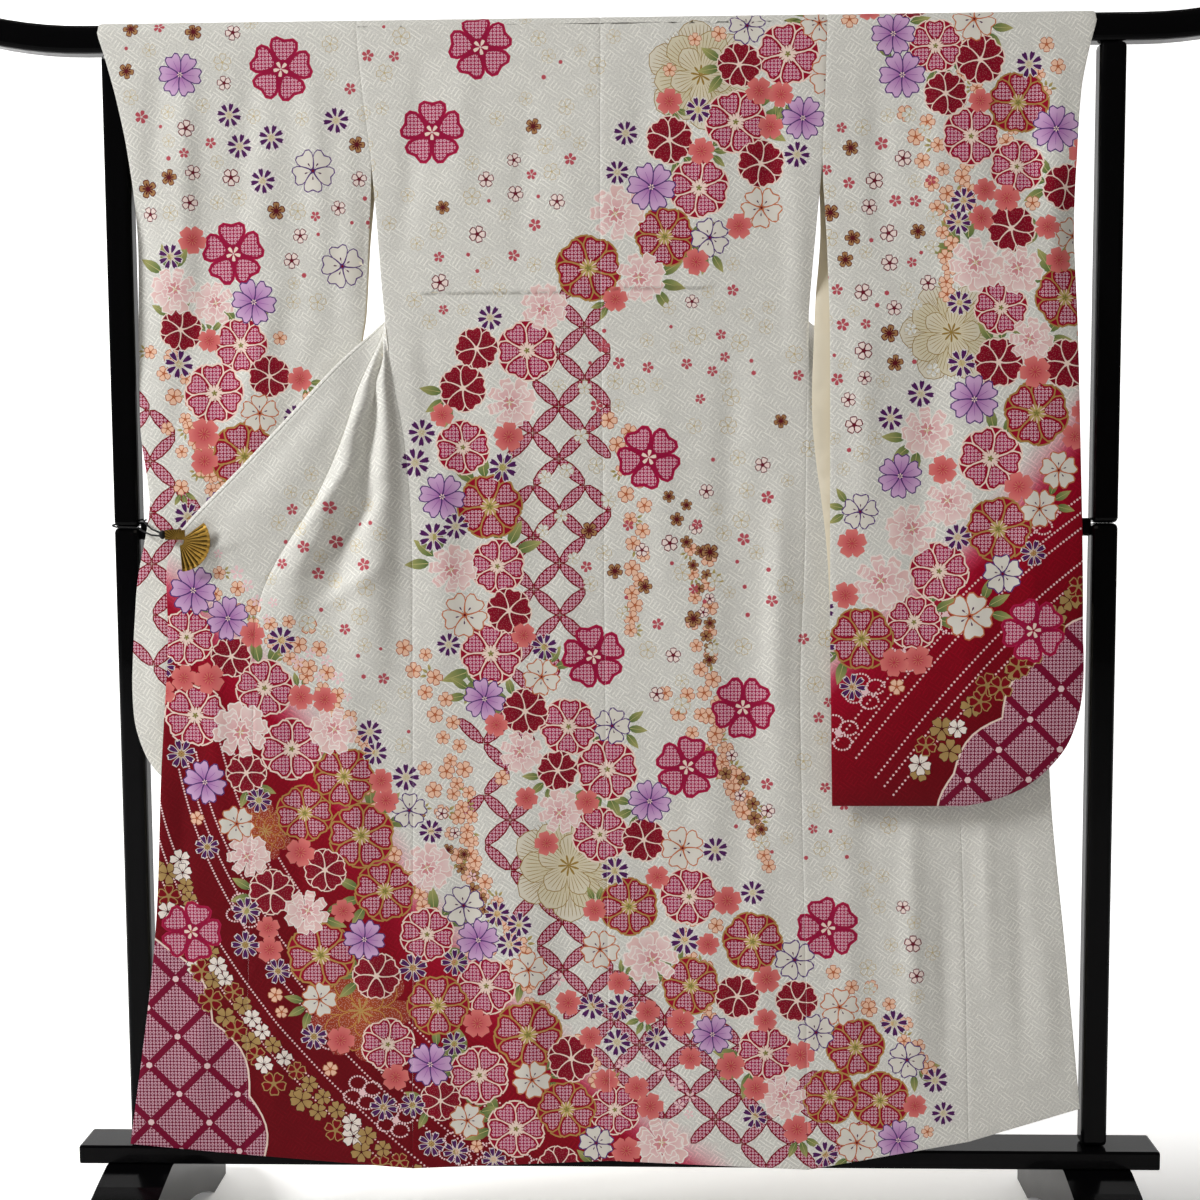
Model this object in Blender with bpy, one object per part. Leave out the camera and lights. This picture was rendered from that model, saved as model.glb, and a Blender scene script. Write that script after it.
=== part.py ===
"""Furisode kimono hung over a lacquered kimono stand, its back to the front.

Metres, +Z up. The origin is on the floor under the middle of the stand.
+X is the viewer's right, and -Y is towards the viewer, who sees the back of the garment.
Left and right are the viewer's.
"""
import math
from collections import namedtuple

import bpy
import bmesh
from mathutils import Vector

# Cloth
WALL = 0.0016            # silk, interlining and lining together
COLLAR_WALL = 0.0030     # the collar is a folded, doubled band
SEAM_GAP = 0.0003        # space between two sewn pieces
CLOTH_CLEAR = 0.0004     # space between cloth and the stand

# Stand
BAR_TOP = 1.689
BAR_HEIGHT = 0.039
BAR_RADIUS = 0.017       # half of the bar's depth, and its round top
BAR_HALF_LENGTH = 0.860
BAR_STRAIGHT = 0.700     # the ends sweep up beyond this
BAR_SWEEP = 0.87         # rise per square metre of reach
UPRIGHT_X = 0.660
UPRIGHT_WIDTH = 0.035
UPRIGHT_DEPTH = 0.032
UPRIGHT_JOINT = 1.019    # each upright comes apart here
RAIL_TOP = 1.026
RAIL_HEIGHT = 0.024
RAIL_DEPTH = 0.022
BEAM_TOP = 0.160
BEAM_HEIGHT = 0.026
BEAM_DEPTH = 0.064
BEAM_HALF_LENGTH = 0.746
FOOT_WIDTH = 0.092
FOOT_HALF_LENGTH = 0.250
FOOT_TOE = 0.046         # height of the toe's end
FOOT_PAD = 0.070         # length of the flat pad under each toe
FOOT_ARCH = 0.052        # height of the arch under the middle

BAR_AXIS = BAR_TOP - BAR_RADIUS
WRAP = BAR_RADIUS + CLOTH_CLEAR + WALL / 2
CROWN = BAR_AXIS + WRAP
SLEEVE_CLOSED = WALL / 2 + SEAM_GAP / 2

# The centre seam of the back: height at the side edge, and the seam's own place.
Centre = namedtuple("Centre", "side_z x y z")
CENTRE = (
    Centre(BAR_AXIS, -0.0120, -WRAP, BAR_AXIS),
    Centre(1.600, -0.0120, -0.0220, 1.600),
    Centre(1.500, -0.0125, -0.0270, 1.500),
    Centre(1.400, -0.0125, -0.0320, 1.400),
    Centre(1.290, -0.0120, -0.0360, 1.290),
    Centre(1.150, -0.0110, -0.0400, 1.150),
    Centre(1.000, -0.0100, -0.0430, 1.000),
    Centre(0.800, -0.0090, -0.0440, 0.800),
    Centre(0.500, -0.0080, -0.0430, 0.502),
    Centre(0.137, -0.0060, -0.0420, 0.148),
)
NECK_LEFT = -0.097
NECK_RIGHT = 0.082
NECK_DROP = 0.017        # the neckline lies this far below the bar's middle, behind it

# One row of half a body: the back's side edge, the front's side edge, the seam between front and
# overlap panel, and the front edge. The side seam is sewn from the sixth row down.
Body = namedtuple("Body", "steps back side seam edge")


def sewn(steps, side, seam, edge):
    """A row below the open slit, where back and front meet in the side seam."""
    return Body(steps, side, side, seam, edge)


def over_shoulder(steps, side_x, neck_x):
    """The row where the cloth leaves the bar's round top."""
    neck = (neck_x, WRAP, BAR_AXIS)
    return Body(steps, (side_x, -WRAP, BAR_AXIS), (side_x, WRAP, BAR_AXIS), neck, neck)


def upper(steps, back, side, edge):
    """A row above the overlap panel's tip."""
    return Body(steps, back, side, edge, edge)


BODY_LEFT = (
    over_shoulder(1, -0.3345, NECK_LEFT),
    upper(2, (-0.3280, -0.0200, 1.600), (-0.3280, 0.0190, 1.600), (-0.1050, 0.0200, 1.600)),
    upper(2, (-0.3168, -0.0225, 1.503), (-0.3168, 0.0190, 1.503), (-0.1250, 0.0220, 1.515)),
    Body(2, (-0.3100, -0.0275, 1.425), (-0.3100, 0.0090, 1.425), (-0.1580, 0.0255, 1.440), (-0.1500, 0.0260, 1.438)),
    Body(2, (-0.3050, -0.0315, 1.355), (-0.3060, -0.010, 1.355), (-0.2250, 0.0200, 1.375), (-0.2060, 0.0240, 1.373)),
    sewn(2, (-0.2995, -0.0340, 1.290), (-0.2900, 0.0000, 1.310), (-0.2780, 0.0110, 1.318)),
    sewn(2, (-0.2935, -0.0400, 1.245), (-0.3100, -0.028, 1.262), (-0.3180, -0.020, 1.275)),
    sewn(2, (-0.2860, -0.0440, 1.200), (-0.3370, -0.042, 1.200), (-0.3620, -0.041, 1.231)),
    sewn(2, (-0.2765, -0.0470, 1.150), (-0.3560, -0.050, 1.140), (-0.4180, -0.049, 1.171)),
    sewn(3, (-0.2680, -0.0500, 1.070), (-0.3920, -0.056, 1.060), (-0.4870, -0.054, 1.099)),
    sewn(2, (-0.2655, -0.0500, 0.965), (-0.4520, -0.058, 0.965), (-0.5770, -0.058, 1.005)),
    sewn(2, (-0.2665, -0.0500, 0.895), (-0.4740, -0.058, 0.905), (-0.5945, -0.058, 0.950)),
    sewn(3, (-0.2675, -0.0490, 0.820), (-0.4790, -0.057, 0.840), (-0.5945, -0.057, 0.870)),
    sewn(4, (-0.2695, -0.0480, 0.660), (-0.4860, -0.056, 0.680), (-0.6090, -0.056, 0.690)),
    sewn(4, (-0.2730, -0.0470, 0.430), (-0.4970, -0.052, 0.440), (-0.6260, -0.052, 0.450)),
    sewn(0, (-0.2780, -0.0460, 0.137), (-0.5095, -0.048, 0.156), (-0.6680, -0.048, 0.170)),
)
BODY_RIGHT = (
    over_shoulder(1, 0.2855, NECK_RIGHT),
    upper(2, (0.2835, -0.0200, 1.600), (0.2835, 0.0190, 1.600), (0.0920, 0.0200, 1.600)),
    upper(2, (0.2797, -0.0225, 1.503), (0.2797, 0.0190, 1.503), (0.1140, 0.0220, 1.512)),
    Body(2, (0.2730, -0.0270, 1.425), (0.2730, 0.0100, 1.425), (0.1490, 0.0255, 1.435), (0.1410, 0.0260, 1.433)),
    Body(2, (0.2665, -0.0300, 1.355), (0.2665, -0.008, 1.355), (0.2080, 0.0180, 1.365), (0.1900, 0.0230, 1.364)),
    sewn(2, (0.2615, -0.0320, 1.290), (0.2560, 0.0000, 1.302), (0.2440, 0.0140, 1.309)),
    sewn(2, (0.2605, -0.0360, 1.230), (0.2920, -0.018, 1.235), (0.3020, -0.010, 1.253)),
    sewn(2, (0.2590, -0.0390, 1.150), (0.3270, -0.029, 1.150), (0.3620, -0.026, 1.181)),
    sewn(2, (0.2580, -0.0410, 1.070), (0.3600, -0.036, 1.065), (0.4200, -0.036, 1.106)),
    sewn(3, (0.2570, -0.0420, 0.975), (0.4050, -0.037, 0.970), (0.4900, -0.037, 1.010)),
    sewn(3, (0.2525, -0.0430, 0.855), (0.4450, -0.037, 0.860), (0.5650, -0.036, 0.905)),
    sewn(3, (0.2520, -0.0430, 0.760), (0.4600, -0.037, 0.775), (0.5800, -0.036, 0.800)),
    sewn(4, (0.2560, -0.0430, 0.590), (0.4680, -0.038, 0.620), (0.5890, -0.036, 0.640)),
    sewn(4, (0.2610, -0.0430, 0.390), (0.4760, -0.039, 0.420), (0.6110, -0.037, 0.440)),
    sewn(0, (0.2650, -0.0420, 0.137), (0.4830, -0.040, 0.177), (0.6335, -0.038, 0.2235)),
)
OVERLAP_FIRST_ROW = 3    # the overlap panel's tip, in the tables above
SLIT_FIRST_ROW = 5       # the side seam's upper end

# One row of a sleeve, from the bar down: inner edge of the near and far layer, outer edge,
# depth of the bag's middle, half of its hollow, and how far its outer edge is sewn shut.
# Above ARMHOLE_END both inner edges are sewn to the body, and follow it.
ARMHOLE_END = 1.503
SleeveRow = namedtuple("SleeveRow", "steps z near_in far_in outer middle hollow sewn")
SLEEVE_LEFT = (
    SleeveRow(2, BAR_AXIS, -0.3345, -0.3345, -0.6790, 0.0000, WRAP, 0.0),
    SleeveRow(3, 1.600, -0.3280, -0.3280, -0.6590, 0.0000, 0.0190, 0.0),
    SleeveRow(3, 1.503, -0.3168, -0.3168, -0.6405, -0.0010, 0.0200, 0.0),
    SleeveRow(3, 1.400, -0.3225, -0.3245, -0.6370, -0.0020, 0.0140, 1.0),
    SleeveRow(2, 1.300, -0.3300, -0.3310, -0.6385, -0.0030, 0.0095, 1.0),
    SleeveRow(2, 1.240, -0.3390, -0.3400, -0.6385, -0.0055, 0.0080, 1.0),
    SleeveRow(3, 1.150, -0.3390, -0.3400, -0.6370, -0.0130, 0.0070, 1.0),
    SleeveRow(2, 1.043, -0.3300, -0.3310, -0.6260, -0.0195, 0.0065, 1.0),
    SleeveRow(3, 0.950, -0.3240, -0.3260, -0.6440, -0.0210, 0.0065, 1.0),
    SleeveRow(2, 0.800, -0.3210, -0.3230, -0.6550, -0.0230, 0.0065, 1.0),
    SleeveRow(2, 0.730, -0.3210, -0.3230, -0.6470, -0.0240, 0.0060, 1.0),
    SleeveRow(2, 0.682, -0.3210, -0.3230, -0.6210, -0.0245, 0.0050, 1.0),
    SleeveRow(1, 0.655, -0.3210, -0.3230, -0.5750, -0.0245, 0.0030, 1.0),
    SleeveRow(0, 0.645, -0.3210, -0.3230, -0.5200, -0.0245, SLEEVE_CLOSED, 1.0),
)
SLEEVE_RIGHT = (
    SleeveRow(2, BAR_AXIS, 0.2855, 0.2855, 0.6350, 0.0000, WRAP, 0.0),
    SleeveRow(3, 1.600, 0.2835, 0.2835, 0.6190, 0.0000, 0.0190, 0.0),
    SleeveRow(3, 1.503, 0.2797, 0.2797, 0.6120, -0.0020, 0.0210, 0.0),
    SleeveRow(2, 1.400, 0.2840, 0.2790, 0.6100, -0.0200, 0.0160, 1.0),
    SleeveRow(2, 1.330, 0.2860, 0.2720, 0.6100, -0.0360, 0.0120, 1.0),
    SleeveRow(3, 1.270, 0.2870, 0.2680, 0.6105, -0.0480, 0.0090, 1.0),
    SleeveRow(3, 1.150, 0.2875, 0.2660, 0.6140, -0.0535, 0.0065, 1.0),
    SleeveRow(3, 1.000, 0.2880, 0.2840, 0.6190, -0.0560, 0.0065, 1.0),
    SleeveRow(2, 0.880, 0.2885, 0.2905, 0.6215, -0.0570, 0.0065, 1.0),
    SleeveRow(2, 0.795, 0.2900, 0.2920, 0.6220, -0.0575, 0.0065, 1.0),
    SleeveRow(2, 0.725, 0.2910, 0.2930, 0.6020, -0.0580, 0.0060, 1.0),
    SleeveRow(2, 0.675, 0.2920, 0.2940, 0.5550, -0.0580, 0.0050, 1.0),
    SleeveRow(1, 0.652, 0.2925, 0.2945, 0.5030, -0.0580, 0.0030, 1.0),
    SleeveRow(0, 0.645, 0.2930, 0.2950, 0.4690, -0.0580, SLEEVE_CLOSED, 1.0),
)

# Soft folds. across is 0 at the inner or side edge and 1 at the outer edge; lean is the move
# across per metre of drop; a negative height is a trough.
Fold = namedtuple("Fold", "across width height top bottom lean")
BACK_LEFT_FOLDS = (
    Fold(0.88, 0.07, 0.0035, 1.30, 0.75, 0.00),
    Fold(0.70, 0.10, -0.0025, 1.35, 0.85, 0.05),
    Fold(0.45, 0.12, 0.0020, 1.15, 0.15, 0.03),
    Fold(0.20, 0.09, -0.0020, 0.80, 0.14, 0.00),
)
BACK_RIGHT_FOLDS = (
    Fold(0.90, 0.06, 0.0040, 1.05, 0.55, 0.00),
    Fold(0.72, 0.09, -0.0030, 1.15, 0.45, -0.04),
    Fold(0.45, 0.12, 0.0025, 1.10, 0.15, 0.04),
    Fold(0.22, 0.08, -0.0020, 0.70, 0.14, 0.00),
)
# across runs here from the side seam to the front edge, over both panels.
LEFT_SPREAD_FOLDS = (
    Fold(0.16, 0.085, 0.0120, 1.33, 0.78, 0.00),
    Fold(0.33, 0.060, -0.0100, 1.30, 0.88, 0.00),
    Fold(0.49, 0.070, 0.0095, 1.28, 0.84, 0.00),
    Fold(0.61, 0.050, -0.0035, 1.20, 0.90, 0.00),
    Fold(0.80, 0.090, 0.0040, 1.20, 0.95, 0.00),
    Fold(0.90, 0.060, 0.0030, 0.97, 0.60, 0.00),
    Fold(0.30, 0.120, 0.0025, 0.70, 0.15, 0.00),
)
RIGHT_SPREAD_FOLDS = (
    Fold(0.30, 0.090, 0.0040, 1.25, 0.70, 0.00),
    Fold(0.55, 0.070, -0.0030, 1.15, 0.60, 0.00),
    Fold(0.80, 0.090, 0.0025, 0.62, 0.20, 0.00),
    Fold(0.42, 0.100, 0.0020, 0.62, 0.15, 0.00),
)
UPPER_FRONT_FOLDS = (
    Fold(0.25, 0.090, 0.0050, 1.55, 1.28, 0.00),
    Fold(0.50, 0.080, -0.0045, 1.55, 1.28, 0.00),
    Fold(0.75, 0.090, 0.0045, 1.55, 1.28, 0.00),
)
SLEEVE_LEFT_FOLDS = (
    Fold(0.86, 0.050, 0.0030, 1.66, 1.15, 0.00),
    Fold(0.66, 0.070, -0.0030, 1.60, 1.05, 0.05),
    Fold(0.48, 0.060, 0.0025, 1.65, 1.10, -0.08),
    Fold(0.20, 0.070, 0.0025, 1.55, 0.90, 0.00),
)
SLEEVE_RIGHT_FOLDS = (
    Fold(0.15, 0.060, 0.0025, 1.45, 0.80, 0.00),
    Fold(0.38, 0.080, -0.0025, 1.50, 0.90, 0.05),
    Fold(0.60, 0.070, 0.0025, 1.60, 1.00, -0.04),
    Fold(0.85, 0.060, 0.0020, 1.40, 0.80, 0.00),
)

# The collar down a front edge; place counts the body's table rows, from the shoulder down; turn
# is how far the band is folded over behind the front edge, in degrees.
CollarRow = namedtuple("CollarRow", "place width turn")
COLLAR_DOWN = (
    CollarRow(0.0, 0.055, 0.0),
    CollarRow(3.0, 0.058, 0.0),
    CollarRow(4.0, 0.050, 20.0),
    CollarRow(5.0, 0.040, 60.0),
    CollarRow(6.0, 0.044, 125.0),
    CollarRow(7.0, 0.062, 174.0),
    CollarRow(8.0, 0.068, 180.0),
    CollarRow(15.0, 0.074, 180.0),
)
COLLAR_FIRST_PLACE = 1.0
COLLAR_LAST_PLACE = 10.0
COLLAR_ROLL = 0.0045     # radius of the roll where the collar folds over behind
# The collar behind the neck: its seam edge and its free edge.
NeckRow = namedtuple("NeckRow", "steps seam free")
NECK = (
    NeckRow(2, (-0.0985, 0.0205, 1.6390), (-0.0480, 0.0225, 1.600)),
    NeckRow(2, (-0.0800, 0.0200, 1.6530), (-0.0360, 0.0230, 1.599)),
    NeckRow(2, (-0.0350, 0.0200, 1.6542), (-0.0180, 0.0235, 1.598)),
    NeckRow(2, (0.0200, 0.0200, 1.6542), (0.0050, 0.0235, 1.598)),
    NeckRow(2, (0.0650, 0.0200, 1.6530), (0.0220, 0.0230, 1.599)),
    NeckRow(0, (0.0838, 0.0205, 1.6390), (0.0340, 0.0225, 1.600)),
)

# The tie at the viewer's left: a cord round the upright and a fan-shaped clip on the front's edge.
FAN_PIVOT = (-0.573, -0.0673, 1.003)
FAN_INNER = 0.006
FAN_OUTER = 0.041
FAN_FROM = -86.0         # degrees, turned up from +X
FAN_TO = 36.0
FAN_RIBS = 12
FAN_WALL = 0.0012
FAN_PLEAT = 0.0007       # half of the pleats' depth
JAW_X = -0.592           # middle of the clip's web, beside the cloth's folded edge
JAW_FRONT_Y = -0.0655
JAW_BACK_Y = -0.0400
JAW_WALL = 0.0018
JAW_REACH = 0.026
JAW_HEIGHT = 0.013
KNOT = (-0.5979, -0.0590, 1.011)
KNOT_RADIUS = 0.0052
CORD_RADIUS = 0.00125

BACK_COLUMNS = 9
FRONT_COLUMNS = 9
OVERLAP_COLUMNS = 5
SLEEVE_COLUMNS = 9
COLLAR_COLUMNS = 7
WRAP_ROWS = 4            # rows over a quarter turn of the bar

Finish = namedtuple("Finish", "colour roughness metallic")
SILK = Finish((0.80, 0.77, 0.70), 0.45, 0.0)
RED_SILK = Finish((0.42, 0.02, 0.05), 0.45, 0.0)
LACQUER = Finish((0.006, 0.006, 0.007), 0.12, 0.0)
BRASS = Finish((0.62, 0.45, 0.16), 0.30, 1.0)
CORD_BLACK = Finish((0.01, 0.01, 0.01), 0.70, 0.0)


def clear_scene():
    for item in list(bpy.data.objects):
        bpy.data.objects.remove(item, do_unlink=True)


def material(name, finish):
    made = bpy.data.materials.get(name)
    if made:
        return made
    made = bpy.data.materials.new(name)
    made.use_nodes = True
    shader = made.node_tree.nodes["Principled BSDF"]
    shader.inputs["Base Color"].default_value = (*finish.colour, 1.0)
    shader.inputs["Roughness"].default_value = finish.roughness
    shader.inputs["Metallic"].default_value = finish.metallic
    return made


def place_mesh(name, bm, finish, sharp_angle=40.0):
    """Turn a bmesh into a named object with outward faces and a finish."""
    bmesh.ops.recalc_face_normals(bm, faces=bm.faces)
    mesh = bpy.data.meshes.new(name)
    bm.to_mesh(mesh)
    bm.free()
    mesh.shade_smooth()
    mesh.set_sharp_from_angle(angle=math.radians(sharp_angle))
    mesh.materials.append(material(name + "_finish", finish))
    made = bpy.data.objects.new(name, mesh)
    bpy.context.scene.collection.objects.link(made)
    return made


def curve_between(before, start, end, after, t):
    """A smooth curve from start to end that keeps the direction of its neighbours."""
    a = 2 * start
    b = end - before
    c = 2 * before - 5 * start + 4 * end - after
    d = 3 * start - before - 3 * end + after
    return 0.5 * (a + b * t + c * t * t + d * t * t * t)


def smooth_rows(values, steps):
    """Fill in steps[i] rows from values[i] to the next one, on a smooth curve."""
    rows = []
    last = len(values) - 1
    for i in range(last):
        before = values[max(i - 1, 0)]
        after = values[min(i + 2, last)]
        for k in range(steps[i]):
            t = k / steps[i]
            rows.append([curve_between(p, q, r, s, t)
                         for p, q, r, s in zip(before, values[i], values[i + 1], after)])
    rows.append(list(values[last]))
    return rows


def at_place(values, place):
    """Read a table of numbers at a place that may lie between two of its rows."""
    last = len(values) - 1
    i = min(int(place), last - 1)
    before = values[max(i - 1, 0)]
    after = values[min(i + 2, last)]
    return [curve_between(p, q, r, s, place - i)
            for p, q, r, s in zip(before, values[i], values[i + 1], after)]


def flat_numbers(row, fields):
    """The named points of a table row, as one list of numbers."""
    return [number for field in fields for number in getattr(row, field)]


def points_of(numbers):
    return [Vector(numbers[k:k + 3]) for k in range(0, len(numbers), 3)]


def fold_height(folds, across, z):
    """How far the folds lift the cloth at this place."""
    total = 0.0
    for fold in folds:
        if not fold.bottom < z < fold.top:
            continue
        part = (z - fold.bottom) / (fold.top - fold.bottom)
        fade = math.sin(math.pi * part) ** 0.8
        centre = fold.across + fold.lean * (fold.top - z)
        total += fold.height * fade * math.exp(-((across - centre) / fold.width) ** 2)
    return total


def grid_normals(grid, facing=1):
    """Unit normals of a grid of points, from across times down, or the other way about."""
    rows, cols = len(grid), len(grid[0])
    normals = []
    for j in range(rows):
        line = []
        for i in range(cols):
            across = grid[j][min(i + 1, cols - 1)] - grid[j][max(i - 1, 0)]
            down = grid[min(j + 1, rows - 1)][i] - grid[max(j - 1, 0)][i]
            line.append(across.cross(down).normalized() * facing)
        normals.append(line)
    return normals


def lift(grid, heights, facing):
    """Move a grid's points along its normals."""
    normals = grid_normals(grid, facing)
    return [[p + n * h for p, n, h in zip(*lines)] for lines in zip(grid, normals, heights)]


def trimmed(points, start=0.0, end=0.0):
    """Draw in the two ends of a row of points by small distances."""
    row = [p.copy() for p in points]
    row[0] += (row[1] - row[0]).normalized() * start
    row[-1] += (row[-2] - row[-1]).normalized() * end
    return row


def cloth_wall(name, grid, finish=SILK, thickness=WALL, keep=None, normals=None):
    """A closed wall round a grid of middle points; keep(j, i) says which cells are cloth."""
    rows, cols = len(grid), len(grid[0])
    normals = normals or grid_normals(grid)
    cells = [(j, i) for j in range(rows - 1) for i in range(cols - 1) if not keep or keep(j, i)]
    bm = bmesh.new()
    faces, backs = {}, {}

    def vertex(table, j, i, side):
        if (j, i) not in table:
            table[j, i] = bm.verts.new(grid[j][i] + normals[j][i] * side * thickness / 2)
        return table[j, i]

    borders = {}
    for j, i in cells:
        corners = [(j, i), (j, i + 1), (j + 1, i + 1), (j + 1, i)]
        bm.faces.new([vertex(faces, *c, 1) for c in corners])
        bm.faces.new([vertex(backs, *c, -1) for c in reversed(corners)])
        for a, b in zip(corners, corners[1:] + corners[:1]):
            if (b, a) in borders:
                del borders[b, a]
            else:
                borders[a, b] = True
    for a, b in borders:
        bm.faces.new([faces[b], faces[a], backs[a], backs[b]])
    return place_mesh(name, bm, finish)


def between(start, end, columns):
    return [start.lerp(end, i / columns) for i in range(columns + 1)]


def over_bar(angle, x):
    """A point of the cloth on the bar's round top; 0 is the viewer's side, pi is behind."""
    return Vector((x, -WRAP * math.cos(angle), BAR_AXIS + WRAP * math.sin(angle)))


def seam_trim(last_of_one, first_of_other):
    """How far to draw in two walls that meet at an angle, so that they stay apart."""
    turn = min(last_of_one.angle(first_of_other), math.radians(125))
    return SEAM_GAP / 2 + 1.15 * WALL / 2 * math.tan(turn / 2)


def twist_trim(normals, j, column):
    """Half of a seam's space at a row, wider where the cloth twists from row to row."""
    here = normals[j][column]
    turns = [here.angle(normals[k][column]) for k in (j - 1, j + 1) if 0 <= k < len(normals)]
    return SEAM_GAP / 2 + COLLAR_WALL / 2 * math.sin(min(max(turns), math.pi / 2)) * 0.6


def at_height(table, z):
    """Read the centre seam's place where the side edge is at this height."""
    for above, below in zip(table, table[1:]):
        if z >= below.side_z:
            share = (above.side_z - z) / (above.side_z - below.side_z)
            share = max(share, 0.0)
            return Vector(above[1:]).lerp(Vector(below[1:]), share)
    return Vector(table[-1][1:])


def body_lines(table):
    """The guide points of every row of half a body, on smooth curves."""
    fields = ("back", "side", "seam", "edge")
    numbers = smooth_rows([flat_numbers(row, fields) for row in table], [row.steps for row in table])
    lines = [points_of(line) for line in numbers]
    for line in lines[:sum(row.steps for row in table[:OVERLAP_FIRST_ROW])]:
        line[2] = line[3].copy()
    return lines


def row_places(table):
    """The place in the table of every smooth row."""
    places = []
    for i, row in enumerate(table[:-1]):
        places += [i + k / row.steps for k in range(row.steps)]
    return places + [float(len(table) - 1)]


def end_fade(across):
    """1 over most of a panel and 0 at both edges."""
    return min(math.sin(math.pi * min(max(across, 0.0), 1.0)) * 2.2, 1.0)


def collar_part(edge, inner, below, place, facing):
    """The collar's row at a front edge: flat beyond it, or rolled over behind it."""
    width, turn = at_place([list(row[1:]) for row in COLLAR_DOWN], collar_index(place))
    down = (below - edge).normalized()
    out = edge - inner
    out = (out - down * out.dot(down)).normalized()
    behind = out.cross(down).normalized() * -facing
    angle = math.radians(max(turn, 0.0))
    roll = COLLAR_ROLL * angle
    line = []
    for i in range(1, COLLAR_COLUMNS + 1):
        if i <= 3:
            reach = max(roll, width * 3 / COLLAR_COLUMNS * (1 - angle / math.pi)) * i / 3
        else:
            first = max(roll, width * 3 / COLLAR_COLUMNS * (1 - angle / math.pi))
            reach = first + (width + roll * 0.5 - first) * (i - 3) / (COLLAR_COLUMNS - 3)
        bend = min(reach / COLLAR_ROLL, angle)
        rest = reach - bend * COLLAR_ROLL
        forward = COLLAR_ROLL * math.sin(bend) + rest * math.cos(bend)
        back = COLLAR_ROLL * (1 - math.cos(bend)) + rest * math.sin(bend)
        line.append(edge + out * forward + behind * back)
    return line


def collar_index(place):
    """Turn a body place into a place in the collar's table."""
    rows = COLLAR_DOWN
    for i in range(len(rows) - 1):
        if place <= rows[i + 1].place:
            return i + (place - rows[i].place) / (rows[i + 1].place - rows[i].place)
    return float(len(rows) - 1)


def spread_cloth(table, folds, facing):
    """Front, overlap panel and collar as one sheet: its rows, from the bar's crown to the hem."""
    lines, places = body_lines(table), row_places(table)
    grid, heights = [], []
    for j, (back, side, seam, edge) in enumerate(lines):
        row = between(side, seam, FRONT_COLUMNS) + between(seam, edge, OVERLAP_COLUMNS)[1:]
        below = lines[j + 1][3] if j + 1 < len(lines) else edge * 2 - lines[j - 1][3]
        inner = side.lerp(seam, 0.7)
        row += collar_part(edge, inner, below, places[j], facing)
        lifts = []
        for i, point in enumerate(row):
            if i <= FRONT_COLUMNS:
                across = 0.6 * i / FRONT_COLUMNS
            else:
                across = min(0.6 + 0.4 * (i - FRONT_COLUMNS) / OVERLAP_COLUMNS, 1.0)
            lifts.append(end_fade(across) * fold_height(folds, across, point.z))
        grid.append(row)
        heights.append(lifts)
    crown_rows = []
    for k in range(WRAP_ROWS):
        angle = math.pi / 2 * (1 + k / WRAP_ROWS)
        crown_rows.append([over_bar(angle, p.x) for p in grid[0]])
    for point in crown_rows[0]:
        point.y += SEAM_GAP / 2
    heights = [[0.0] * len(row) for row in crown_rows] + heights
    return lift(crown_rows + grid, heights, facing)


def back_cloth(table, folds, facing, neck):
    """Half of the back as a sheet, from the neckline behind the bar to the hem."""
    hanging = [between(at_height(CENTRE, line[0].z), line[0], BACK_COLUMNS) for line in body_lines(table)]
    top = hanging[0]
    width = abs(top[-1].x - top[0].x)
    column = round(BACK_COLUMNS * abs(neck - top[0].x) / width)
    xs = [p.x for p in top]
    xs[column] = neck
    rows = [[Vector((x, WRAP, BAR_AXIS - NECK_DROP)) for x in xs], [Vector((x, WRAP, BAR_AXIS)) for x in xs]]
    for k in range(1, 2 * WRAP_ROWS):
        rows.append([over_bar(math.pi * (1 - k / (2 * WRAP_ROWS)), x) for x in xs])
    for j, row in enumerate(hanging):
        fade = min(j / 4, 1.0)
        line = [Vector((x * (1 - fade) + p.x * fade, p.y, p.z)) for x, p in zip(xs, row)]
        line[-1] = row[-1]
        rows.append(line)
    heights = []
    for j, row in enumerate(rows):
        on_bar = j < len(rows) - len(hanging)
        heights.append([0.0 if on_bar else end_fade(i / BACK_COLUMNS) * fold_height(folds, i / BACK_COLUMNS, p.z)
                        for i, p in enumerate(row)])
    return lift(rows, heights, facing), column


def parted(rows, j):
    """Cut a sheet's rows in two at row j, and draw both parts back from the cut."""
    above, below = [list(row) for row in rows[:j + 1]], [list(row) for row in rows[j:]]
    above[-1] = [p + (q - p).normalized() * SEAM_GAP / 2 for p, q in zip(above[-1], above[-2])]
    below[0] = [p + (q - p).normalized() * SEAM_GAP / 2 for p, q in zip(below[0], below[1])]
    return above, below


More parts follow.
